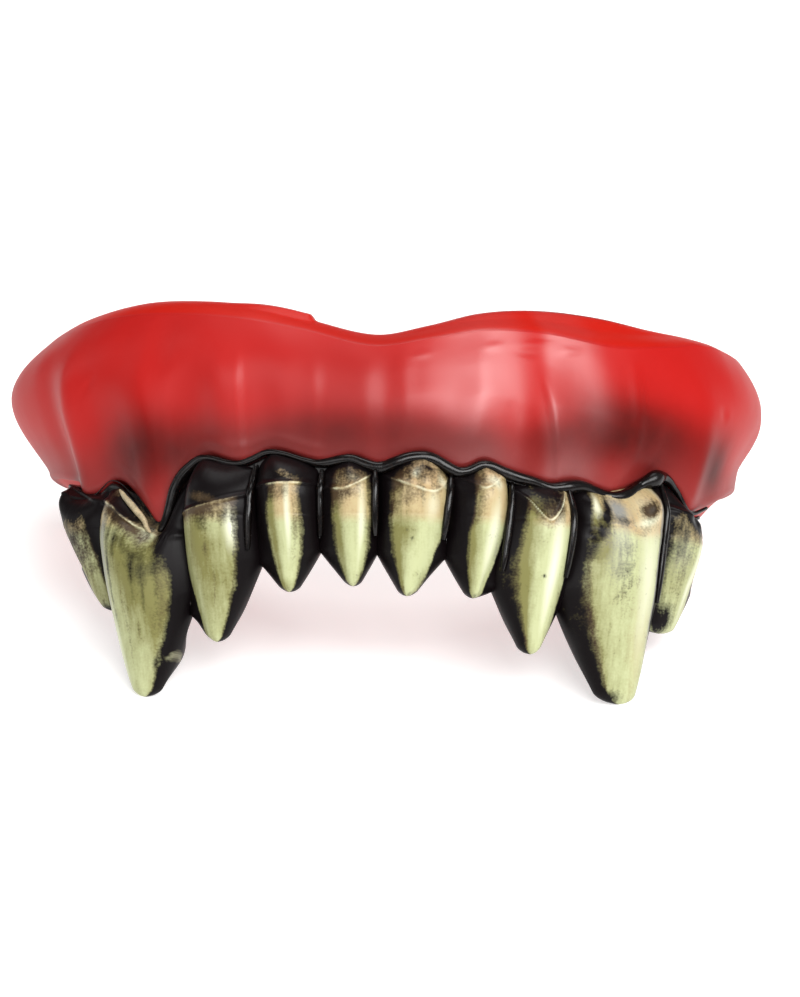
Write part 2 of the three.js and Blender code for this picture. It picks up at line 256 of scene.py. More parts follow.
blackFinish = {
    "colour": "#060404", "thin": "#1a110d", "thinBand": (0.52, 0.72), "grainSize": 0.22, "gloss": 0.16, "dull": 0.3,
    "dullBand": (0.4, 0.7), "shine": 0.3, "rippleSize": 1.3, "rippleHeight": 0.08, "rippleStrength": 0.3}


def blackVinyl():
    # black gloss paint pooled over the vinyl: nearly a mirror where it is thick, brown in specks where it is thin
    finish = blackFinish
    material, tree, shader = newMaterial("black gloss paint on vinyl")
    place = addNode(tree, "ShaderNodeTexCoord").outputs["Object"]
    ripples = addNode(tree, "ShaderNodeTexNoise", Vector=place, Scale=1 / (finish["rippleSize"] * mm), Detail=2.0)
    grain = addNode(tree, "ShaderNodeTexNoise", Vector=place, Scale=1 / (finish["grainSize"] * mm), Detail=3.0)
    covered, bare = finish["thinBand"]
    thin = addNode(tree, "ShaderNodeMapRange", Value=grain.outputs["Fac"], _1=covered, _2=bare)
    colour = addNode(tree, "ShaderNodeMix", {"data_type": "RGBA"}, _0=thin.outputs["Result"],
                     _6=linear(finish["colour"]), _7=linear(finish["thin"]))
    low, high = finish["dullBand"]
    dull = addNode(tree, "ShaderNodeMapRange", Value=ripples.outputs["Fac"], _1=low, _2=high, _3=finish["gloss"],
                   _4=finish["dull"])
    bump = addNode(tree, "ShaderNodeBump", Height=ripples.outputs["Fac"], Strength=finish["rippleStrength"],
                   Distance=finish["rippleHeight"] * mm)
    setInputs(tree, shader, {"Base Color": colour.outputs[2], "Roughness": dull.outputs["Result"],
                             "Normal": bump.outputs["Normal"], "Specular IOR Level": finish["shine"]})
    return material


toothFinish = {
    # the black colour is black paint, and also painted shade on the collar tops under the rope; pale is the colour of
    # the painted highlights
    "base": "#aeb287", "pale": "#d3d5ba", "olive": "#737040", "brown": "#40311d", "tan": "#b09871", "soot": "#0a0607",
    "grey": "#82827d", "shine": 0.28, "sootShine": 0.12, "roughness": 0.38, "streakWidth": 0.4, "streakRatio": 0.16,
    "streakHeight": 0.08, "streakStrength": 0.25, "speckSize": 0.2, "patchSize": 1.1}
toothCoats = [  # mask, colour, share broken by streaks, by specks and by patches, where the coat begins and is full
    # light lays painted highlights; grey is grey mottling, with painted reflections at some crown edges; the black
    # coat is black paint with painted shade under the rope
    ("tan", "tan", 0.3, 0.3, 0.3, 0.1, 0.9), ("olive", "olive", 0.9, 0.4, 0.4, 0.12, 1.0),
    ("light", "pale", 0.5, 0.1, 0.1, 0.1, 0.9), ("grey", "grey", 0.5, 0.6, 0.3, 0.2, 0.9),
    ("stain", "brown", 0.6, 0.8, 0.5, 0.2, 0.9), ("soot", "soot", 0.45, 0.5, 0.6, 0.2, 0.85)]


def stainedVinyl():
    # pale vinyl teeth, dry-brushed over a dark wash and varnished: streaks run down the crown, specks gather at edges
    # over the paint lie painted highlights (the light coat) and painted shade under the rope (in the black coat)
    finish = toothFinish
    material, tree, shader = newMaterial("pale vinyl, stained and varnished")
    flat = addNode(tree, "ShaderNodeAttribute", {"attribute_name": "flat"}).outputs["Vector"]
    combed = addNode(tree, "ShaderNodeMapping", Vector=flat, Scale=(1.0, finish["streakRatio"], 1.0))
    streaks, specks, patches = [
        addNode(tree, "ShaderNodeTexNoise", Vector=place, Scale=1 / finish[size], Detail=detail).outputs["Fac"]
        for place, size, detail in ((combed.outputs["Vector"], "streakWidth", 5.0), (flat, "speckSize", 3.0),
                                    (flat, "patchSize", 2.0))]
    colour = linear(finish["base"])
    for mask, tint, streakShare, speckShare, patchShare, start, full in toothCoats:
        coat = addNode(tree, "ShaderNodeAttribute", {"attribute_name": mask}).outputs["Fac"]
        for texture, share in ((streaks, streakShare), (specks, speckShare), (patches, patchShare)):
            coat = addNode(tree, "ShaderNodeMath", {"operation": "MULTIPLY_ADD"}, _0=texture, _1=share,
                           _2=coat).outputs[0]
        usual = (streakShare + speckShare + patchShare) / 2  # what the three textures add on average
        coat = addNode(tree, "ShaderNodeMapRange", Value=coat, _1=start + usual, _2=full + usual).outputs["Result"]
        colour = addNode(tree, "ShaderNodeMix", {"data_type": "RGBA"}, _0=coat, _6=colour,
                         _7=linear(finish[tint])).outputs[2]
    shine = addNode(tree, "ShaderNodeMapRange", Value=coat, _3=finish["shine"], _4=finish["sootShine"])  # the black paint and painted shade coat is last
    bump = addNode(tree, "ShaderNodeBump", Height=streaks, Strength=finish["streakStrength"],
                   Distance=finish["streakHeight"] * mm)
    setInputs(tree, shader, {
        "Base Color": colour, "Normal": bump.outputs["Normal"], "Roughness": finish["roughness"],
        "Specular IOR Level": shine.outputs["Result"]})
    return material


gumMaterial = gumVinyl()
blackMaterial = blackVinyl()
toothMaterial = stainedVinyl()
print("made 3 materials")


# Gum tray

gumSizes = {
    "rimWall": 3.0, "rimCrown": 0.35, "rimStart": 0.1, "rimEnd": 0.86, "bellyPower": 1.5, "bellyShare": 0.6,
    "wallAtBelly": 3.6, "faceEnd": 0.93, "innerFront": -5.3, "innerBack": -13.6, "lingualWall": 2.0,
    "lingualHeight": 7.0, "floor": 2.2, "lipRound": 0.35, "lipShare": 0.06, "lipCorner": 0.25, "closing": 0.4,
    "corners": (0.3, 0.3, 0.15, 0.15, 0.4, 0.4, 0.08), "rootSpread": 3.6, "stationStep": 0.42, "lumps": 0.05,
    "lumpSize": 3.2}
gumPoints = {"underLip": 5, "lip": 7, "face": 40, "faceEnd": 10, "rimStart": 6, "rim": 12, "corner": 6}
gumRows = [  # station, rim, top, belly, flare, under, lip, drop, keel
    (-104, 8.4, 8.8, 2.0, 0.3, -5.2, 2.0, 1.0, 6.5), (-94, 11.0, 11.4, 3.1, 0.6, -5.2, 2.0, 1.0, 6.5),
    (-82, 12.5, 13.0, 3.4, 0.8, -5.4, 2.2, 0.9, 6.0), (-68, 13.1, 14.2, 2.9, 0.7, -5.6, 2.9, 0.0, 3.1),
    (-48, 13.3, 14.9, 2.2, 0.4, -6.6, 2.9, 0.0, 3.1), (-36, 12.9, 14.6, 1.8, 0.2, -6.8, 2.9, 0.0, 3.1),
    (-24, 12.1, 13.8, 1.5, 0.1, -6.2, 2.9, 0.0, 3.1), (-14, 11.0, 12.4, 1.3, 0.0, -6.0, 2.9, 0.0, 3.1),
    (-2, 9.4, 11.0, 1.2, 0.0, -6.0, 2.9, 0.0, 3.1), (7, 10.1, 11.9, 1.2, 0.0, -6.0, 2.9, 0.0, 3.1),
    (16, 11.0, 13.2, 1.4, 0.0, -6.0, 2.9, 0.0, 3.1), (26, 11.0, 13.8, 1.6, 0.1, -6.0, 2.9, 0.0, 3.1),
    (38, 10.4, 13.8, 1.9, 0.2, -6.0, 2.9, 0.0, 3.1), (50, 11.2, 13.4, 2.2, 0.4, -6.0, 2.9, 0.0, 3.1),
    (58, 12.0, 13.2, 2.4, 0.6, -5.8, 2.9, 0.0, 3.1), (66, 12.2, 13.0, 2.5, 0.7, -5.6, 2.9, 0.0, 3.1),
    (80, 11.9, 12.5, 2.1, 0.8, -5.4, 2.2, 0.9, 6.0),
    (94, 10.3, 10.9, 1.9, 0.6, -5.2, 2.0, 1.0, 6.5), (104, 7.8, 8.2, 1.5, 0.3, -5.2, 2.0, 1.0, 6.5)]
ribRows = [  # station, swell, left width, right width, slant in degrees for each mm up, low share, high share
    (-62.5, -0.14, 3.2, 2.6, 0.0, 0.0, 0.75), (-57.2, 0.26, 2.2, 3.6, 0.0, 0.0, 0.8),
    (-44.0, 0.10, 3.0, 2.4, -0.3, 0.1, 0.75), (-38.3, 0.20, 2.0, 2.6, -0.35, 0.1, 0.65),
    (-23.4, 0.30, 5.0, 0.9, 0.0, 0.0, 0.75), (-11.0, 0.16, 1.6, 1.3, 0.0, 0.0, 0.8),
    (-2.6, 0.15, 2.2, 1.6, 0.0, 0.0, 0.97), (2.8, 0.18, 1.7, 1.6, 0.0, 0.1, 0.97),
    (14.2, 0.2, 6.0, 2.4, 0.0, 0.0, 0.97), (21.3, -0.25, 2.6, 2.4, 0.0, 0.1, 0.65),
    (26.1, 0.42, 0.8, 6.0, -0.35, 0.0, 0.72), (41.4, 0.18, 1.4, 1.4, 0.0, 0.2, 0.9),
    (57.0, 0.25, 3.0, 3.0, 0.0, 0.0, 0.8)]
smokeRows = [  # station, height, spread along, spread up, strength
    (-39.8, 0.8, 9.0, 2.7, 1.55), (-22.0, 1.2, 9.0, 1.9, 0.45), (-9.5, 1.9, 6.5, 2.1, 0.8), (0.0, 1.7, 6.0, 2.0, 0.7),
    (8.0, 1.7, 6.0, 1.9, 0.55), (-4.0, 6.5, 12.0, 4.0, 0.2), (15.0, 1.2, 5.0, 1.8, 0.5), (27.0, 1.4, 6.0, 2.0, 0.8),
    (37.0, 3.0, 7.0, 2.6, 1.8), (47.0, 2.6, 8.0, 2.3, 1.2), (62.5, 1.4, 6.5, 2.3, 1.5),
    (-60.0, -0.6, 4.0, 1.2, 0.3)]
toothRows = [  # name, station, width, out, back, skew, tip, lean, tuck, root
    ("back_tooth_left", -57.6, 6.2, 2.5, 1.6, -0.2, -12.8, 3.5, -0.8, 0.5),
    ("fang_left", -40.4, 7.7, 3.6, 2.8, -0.3, -20.8, 0.4, 0.2, 0.7),
    ("side_tooth_left", -26.4, 6.2, 3.4, 2.0, -0.2, -16.3, 0.1, 0.2, 0.4),
    ("front_tooth_left_2", -14.9, 5.4, 3.0, 1.4, -0.1, -12.1, 0.3, 0.2, 0.4),
    ("front_tooth_left_1", -4.9, 4.6, 2.8, 1.3, 0.0, -11.6, 0.3, 0.2, 0.3),
    ("front_tooth_right_1", 5.3, 5.7, 3.2, 1.4, 0.05, -12.4, -0.7, 0.2, 0.4),
    ("front_tooth_right_2", 15.4, 4.4, 3.0, 1.6, 0.2, -12.4, -0.6, 0.2, 0.4),
    ("side_tooth_right", 25.2, 5.0, 3.4, 2.6, 0.3, -17.0, -0.8, 0.2, 0.6),
    ("fang_right", 37.7, 8.0, 3.6, 2.8, 0.3, -20.8, 1.0, 0.2, 0.5),
    ("back_tooth_right", 54.2, 5.5, 2.3, 1.8, 0.2, -14.0, -1.4, -0.8, 0.5)]


def gumFace(station, share):  # how far the outer wall stands out, without its small ribs
    swell = between(gumRows, 3, station) * np.sin(np.pi * np.clip(share, 0, 1) ** gumSizes["bellyPower"])
    roots = 0
    for tooth in toothRows:
        near = np.exp(-((station - tooth[1]) / gumSizes["rootSpread"]) ** 2)
        roots = roots + tooth[9] * np.cos(share * np.pi / 2) * near
    return swell + between(gumRows, 4, station) * share + roots


glossRows = [  # station, varnish
    (-104, 0.1), (-68, 0.25), (-58, 0.5), (-45, 0.35), (-20, 0.8), (-3, 0.8), (4, 0.95), (8, 1.25), (12, 1.95),
    (16, 2.0), (20, 1.3), (22.5, 0.5), (24.5, 0.5), (26.5, 2.0), (32, 2.0), (37, 0.5), (60, 0.3), (104, 0.1)]
flatRows = [  # station, how flat the wall is
    (-104, 0.0), (-30, 0.0), (-14, 0.2), (-2, 0.6), (8, 1.0), (44, 1.0), (56, 0.6), (70, 0.15), (104, 0.0)]
creaseRows = [  # small creases: station, height, length, width, slope, rise
    (24.0, 10.0, 2.2, 0.3, 0.05, 0.1), (22.0, 9.2, 1.6, 0.3, -0.04, -0.1), (29.5, 9.6, 2.0, 0.3, 0.06, 0.1),
    (17.0, 9.6, 1.6, 0.3, 0.1, 0.08), (5.5, 8.6, 1.4, 0.3, 0.1, 0.08), (-52.0, 7.0, 1.2, 0.3, 0.5, -0.1)]
flatWall = {"middle": 0.5, "lowPower": 2, "highDrop": 0.55, "highPower": 1.25}
ribEnds = {"low": 0.12, "highFrom": 0.25, "highTo": 0.1, "slantFrom": 4}
blister = {"station": 61.0, "height": 5.8, "radius": 1.3, "rise": 0.2, "dimple": 0.8}
endShift = {"left": 0.2, "right": -0.45, "near": 55, "far": 70, "share": 0.25, "below": 0.15, "above": 0.25}
gumHem = {"start": -48, "end": -10, "fade": 2, "rise": 0.09, "share": 0.1, "width": 0.03}
rimFlap = {  # a strip of trimmed vinyl left standing on the inner edge
    "start": -30.0, "end": -12.6, "rise": 0.5, "full": 3, "cutFrom": 0.8, "cutTo": 0.4, "edge": (0.5, 0.58)}


def gumRibs(station, share, height):  # what stands on the plain wall: ribs, creases, a blister, shifted ends, a hem
    upper = np.clip(share - flatWall["middle"], 0, 1) / flatWall["middle"]
    lower = np.clip(flatWall["middle"] - share, 0, 1) / flatWall["middle"]
    facet = 1 - lower ** flatWall["lowPower"] - flatWall["highDrop"] * upper ** flatWall["highPower"]
    belly = between(gumRows, 3, station)
    total = between(flatRows, 1, station) * belly * (facet - np.sin(np.pi * share ** gumSizes["bellyPower"]))
    for at, swell, left, right, slant, low, high in ribRows:
        inside = ease(low - ribEnds["low"], low + ribEnds["low"], share)
        inside = inside * (1 - ease(high - ribEnds["highFrom"], high + ribEnds["highTo"], share))
        total = total + swell * hump(station - at - slant * (height - ribEnds["slantFrom"]), left, right) * inside
    for at, up, length, wide, slope, rise in creaseRows:
        away = height - up - slope * (station - at)
        total = total + rise * np.exp(-((station - at) / length) ** 2 - (away / wide) ** 2)
    away = np.hypot((station - blister["station"]) * mmPerDegree(blister["station"]), height - blister["height"])
    away = away / blister["radius"]
    total = total + blister["rise"] * (np.exp(-away ** 2) - blister["dimple"] * np.exp(-(2 * away) ** 2))
    ends = endShift["left"] * (1 - ease(-endShift["far"], -endShift["near"], station))
    ends = ends + endShift["right"] * ease(endShift["near"], endShift["far"], station)
    total = total + ends * hump(share - endShift["share"], endShift["below"], endShift["above"])
    hem = ease(gumHem["start"] - gumHem["fade"], gumHem["start"] + gumHem["fade"], station)
    hem = hem * (1 - ease(gumHem["end"] - gumHem["fade"], gumHem["end"] + gumHem["fade"], station))
    return total + gumHem["rise"] * hem * np.exp(-((share - gumHem["share"]) / gumHem["width"]) ** 2)


def pair(out, height):  # one point of an outline, at every station
    return np.stack(np.broadcast_arrays(out, height), axis=-1)


def roundedLine(controls, shares, samples):  # straight runs with their inner corners rounded
    pieces = [controls[0][None]]
    for index in range(1, len(controls) - 1):
        before, corner, after = controls[index - 1], controls[index], controls[index + 1]
        start = corner + (before - corner) * shares[index - 1]
        end = corner + (after - corner) * shares[index - 1]
        t = np.linspace(0, 1, samples)[:, None, None]
        pieces.append((1 - t) ** 2 * start + 2 * t * (1 - t) * corner + t ** 2 * end)
    pieces.append(controls[-1][None])
    return np.concatenate(pieces)


def gumOutlines(station):
    # outlines of the tray at each station: points, shares up the outer face (negative elsewhere), shares across
    # the rim and hollow marks
    size, count = gumSizes, gumPoints
    line = gumLine(station)
    rim, top, under, lip, drop, keel = [between(gumRows, column, station) for column in (1, 2, 5, 6, 7, 8)]
    floor = under + size["floor"]
    lingualTop = floor + size["lingualHeight"]
    lingualOut = size["innerBack"] - size["lingualWall"]
    rimOut = gumFace(station, 1.0)
    turn = np.radians(np.linspace(0, 90, count["lip"]))[:, None]
    edgeOut = mix(-size["lipRound"], gumFace(station, size["lipShare"]), np.sin(turn))
    edgeUp = line + size["lipShare"] * (rim - line) * (1 - np.cos(turn))
    underLip = roundedLine([
        pair(-keel, under), pair(-lip, line - drop), pair(-size["lipRound"] - size["closing"], line)],
        [size["lipCorner"]], count["underLip"])
    share = np.concatenate([
        np.linspace(size["lipShare"], size["faceEnd"], count["face"])[1:],
        mix(size["faceEnd"], 1, np.linspace(0, 1, count["faceEnd"])[1:] ** 0.5)])[:, None]
    across = np.concatenate([
        size["rimStart"] * np.linspace(0, 1, count["rimStart"])[1:] ** 2,
        np.linspace(size["rimStart"], size["rimEnd"], count["rim"])[1:]])[:, None]
    rimLineOut = rimOut - size["rimWall"] * across
    rimLineUp = mix(rim, top, across) + size["rimCrown"] * 4 * across * (1 - across)
    inner = roundedLine([
        pair(rimLineOut[-1], rimLineUp[-1]), pair(rimOut - size["rimWall"], top),
        pair(gumFace(station, size["bellyShare"]) - size["wallAtBelly"], mix(line, rim, size["bellyShare"])),
        pair(size["innerFront"], floor), pair(size["innerBack"], floor), pair(size["innerBack"], lingualTop),
        pair(lingualOut, lingualTop), pair(lingualOut, under), pair(-keel - size["closing"], under)],
        size["corners"], count["corner"])[1:]
    points = np.concatenate([underLip, pair(edgeOut, edgeUp), pair(gumFace(station, share), mix(line, rim, share)),
                             pair(rimLineOut, rimLineUp), inner])
    shares = np.concatenate([np.full(len(underLip), -1.0), np.linspace(0, size["lipShare"], len(turn)), share[:, 0],
                             np.full(len(across), 1.0), np.full(len(inner), -1.0)])
    beforeRim = len(underLip) + len(turn) + len(share)
    rimShare = np.concatenate([np.zeros(beforeRim), across[:, 0], np.zeros(len(inner))])
    hollow = np.zeros(len(points), bool)
    trough = 5 * count["corner"] + 1  # the inner line as far as the top of the inner wall
    hollow[-len(inner):-len(inner) + trough] = True
    return points, shares, rimShare, hollow


gumPaint = {  # bands are shares up the face or across the rim, the rest are shares of a coat
    "ribBand": (0.0, 0.5), "rimBand": (0.0, 0.1), "lowBand": (0.02, 0.4), "inside": 0.6, "low": 0.8, "haze": 1.2,
    "rimDull": 0.5, "hazeDull": 0.75, "flatStation": 30}


def gumTray():
    size, paint = gumSizes, gumPaint
    end = archSizes["endStation"]
    station = np.linspace(-end, end, int(round(2 * end / size["stationStep"])) + 1)
    points, shares, rimShare, hollow = gumOutlines(station)
    out, height = points[..., 0], points[..., 1]
    plain = archPlace(station, out, height)
    onFace = shares[:, None] >= 0
    share, overRim = np.clip(shares, 0, 1)[:, None], rimShare[:, None]
    ribs = gumRibs(station, share, height) * (1 - ease(*paint["ribBand"], overRim))
    lumps = np.array([noise.noise(Vector(p) / size["lumpSize"]) for p in plain.reshape(-1, 3)]).reshape(out.shape)
    out = out + np.where(onFace, ribs + size["lumps"] * lumps, 0)
    strip = ease(rimFlap["start"], rimFlap["end"] - rimFlap["full"], station)
    strip = strip * (1 - ease(rimFlap["end"] - rimFlap["cutFrom"], rimFlap["end"] + rimFlap["cutTo"], station))
    height = height + rimFlap["rise"] * strip * ease(*rimFlap["edge"], overRim)
    level = archPlace(station, out, height)
    for places in (plain, level):  # trimmed flat where the ends stand
        floorUp = standHeight(places[..., 1]) + np.where(hollow, size["floor"], 0)[:, None]
        places[..., 2] = np.maximum(places[..., 2], floorUp)
    cadLow = np.array(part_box("gum_tray")[0]) / mm
    standShift[:] = cadLow - leanBack(plain).reshape(-1, 3).min(axis=0)
    standShift[2] = 0
    smoke = 0
    for at, up, along, tall, strength in smokeRows:
        smoke = smoke + strength * np.exp(-((station - at) / along) ** 2 - ((height - up) / tall) ** 2)
    smoke = np.where(onFace, 1 - np.exp(-paint["haze"] * smoke), 0)
    onRim = ease(*paint["rimBand"], overRim)
    masks = {
        "smoke": smoke, "rim": np.where(onFace, onRim, paint["inside"]),
        "low": np.where(onFace, paint["low"] * (1 - ease(*paint["lowBand"], share)), 0),
        "gloss": between(glossRows, 1, station) * (1 - paint["rimDull"] * onRim) * (1 - paint["hazeDull"] * smoke),
        "flat": np.stack(np.broadcast_arrays(station * mmPerDegree(paint["flatStation"]), height, out), axis=-1)}

    def turnOver(values):  # stations first, as rings
        return np.swapaxes(np.broadcast_to(values, out.shape + np.shape(values)[2:]), 0, 1)

    piece = tubeMesh("gum_tray_soft", turnOver(level), gumMaterial,
                     {key: turnOver(values) for key, values in masks.items()})
    settle(piece, "gum_vinyl", "gum_tray")


gumTray()


# Tooth bed

bedSizes = {
    "start": -65.0, "end": 61.0, "face": 0.4, "back": -2.6, "backDrop": 3, "endFoot": -3.4, "endTaper": 9.0,
    "rise": 0.6, "step": 0.5, "reach": 0.4, "gap": 0.3, "corners": (0.12, 0.12, 0.3, 0.1), "cornerPoints": 6}


def toothBed():
    size = bedSizes
    station = np.linspace(size["start"], size["end"], int((size["end"] - size["start"]) / size["step"]) + 1)
    top = lowestLine(station, size["reach"]) - size["gap"]
    toEnd = np.minimum(station - size["start"], size["end"] - station)
    bottom = mix(size["endFoot"], webEdge(station) + size["rise"], ease(0.0, size["endTaper"], toEnd))
    back, face = size["back"], size["face"]
    outline = roundedLine([
        pair(back, top - size["backDrop"]), pair(back, bottom), pair(face, bottom), pair(face, (top + bottom) / 2),
        pair(face, top), pair(back, top)], size["corners"], size["cornerPoints"])
    level = archPlace(station, outline[..., 0], outline[..., 1])
    piece = tubeMesh("tooth_bed_gloss", np.swapaxes(level, 0, 1), blackMaterial, {})
    settle(piece, "black_vinyl", "tooth_bed")


toothBed()


# Teeth

crownRows = [  # along from under the bead to the tip, width, front
    (0.0, 0.88, 0.36), (0.06, 0.94, 0.66), (0.13, 0.98, 0.88), (0.2, 1.0, 0.98), (0.28, 1.0, 1.0), (0.48, 0.94, 0.84),
    (0.64, 0.8, 0.66), (0.79, 0.58, 0.52), (0.91, 0.36, 0.42), (1.0, 0.18, 0.34)]
crownFaces = []  # station, depth and height of each crown's outer face, for the beads that lie on it
crownSizes = {
    "rings": 132, "sides": 132, "collarTop": 0.3, "reach": 0.8, "seat": -0.6, "webClearance": 1.0, "fullness": 0.72,
    "tipThickness": 1.1, "tipRound": 0.05, "tipCut": 0.995, "bluntBand": (0.55, 1.0), "flankPower": 1.5,
    "overlap": 1.06, "skirtBand": (0.0, 0.04), "skirtPower": 8, "backSwell": 1.6, "faceBand": (0.05, 0.35),
    "lip": 0.17, "lipWidth": 0.14, "lipSpread": 1.6, "recess": 0.18, "recessBand": (0.0, 0.6), "seam": -5.5,
    "seamDepth": 0.04, "seamWidth": 0.1, "patternStep": 37.0}
crownPaint = {  # bands are where a mask comes in, the rest are shares of a coat
    # sootRope is painted shade under the rope; lineLight is painted highlight along the ridge line
    "edgeOut": 0.24, "edgeIn": 0.2, "washOut": 0.2, "washLeft": 0.5, "washRight": 0.4, "sideBand": (0.1, 0.34),
    "skirtBand": (0.1, 0.35), "tipEdgeBand": (0.85, 1.05), "tipBand": (0.7, 0.95), "collarBand": (-0.1, 0.15),
    "ropeBand": (-1.3, -0.2), "leftBand": (-0.6, 0.3), "neckBand": (-1.7, 0.0), "fringeBand": (0.02, 0.3),
    "seamBand": (-1.2, 0.2), "sootEdge": 1.4, "sootTipEdge": 0.4, "sootCollar": 1.3, "sootAll": 0.08, "sootRope": 0.5,
    "stainCollar": 0.3, "stainNeck": 0.25, "stainLeft": 0.35, "stainFringe": 0.4, "tanSeam": 0.8, "oliveAll": 0.15,
    "oliveWash": 0.7, "oliveLeft": 0.15, "most": 1.4, "lineBelow": 0.12, "lineAbove": 0.13, "lineFade": 1,
    "lineEven": 0.7, "lineWaves": (2.1, 0.9), "lineUnderSoot": 0.75, "lineOverBlackAndShade": 0.8, "lineOverStain": 0.9,
    "lineLight": 0.7}
seamStations = [  # between the crowns, and the two ends
    -62.8, -49.5, -32.0, -20.2, -10.0, -0.7, 10.0, 19.6, 30.4, 48.4, 59.5]
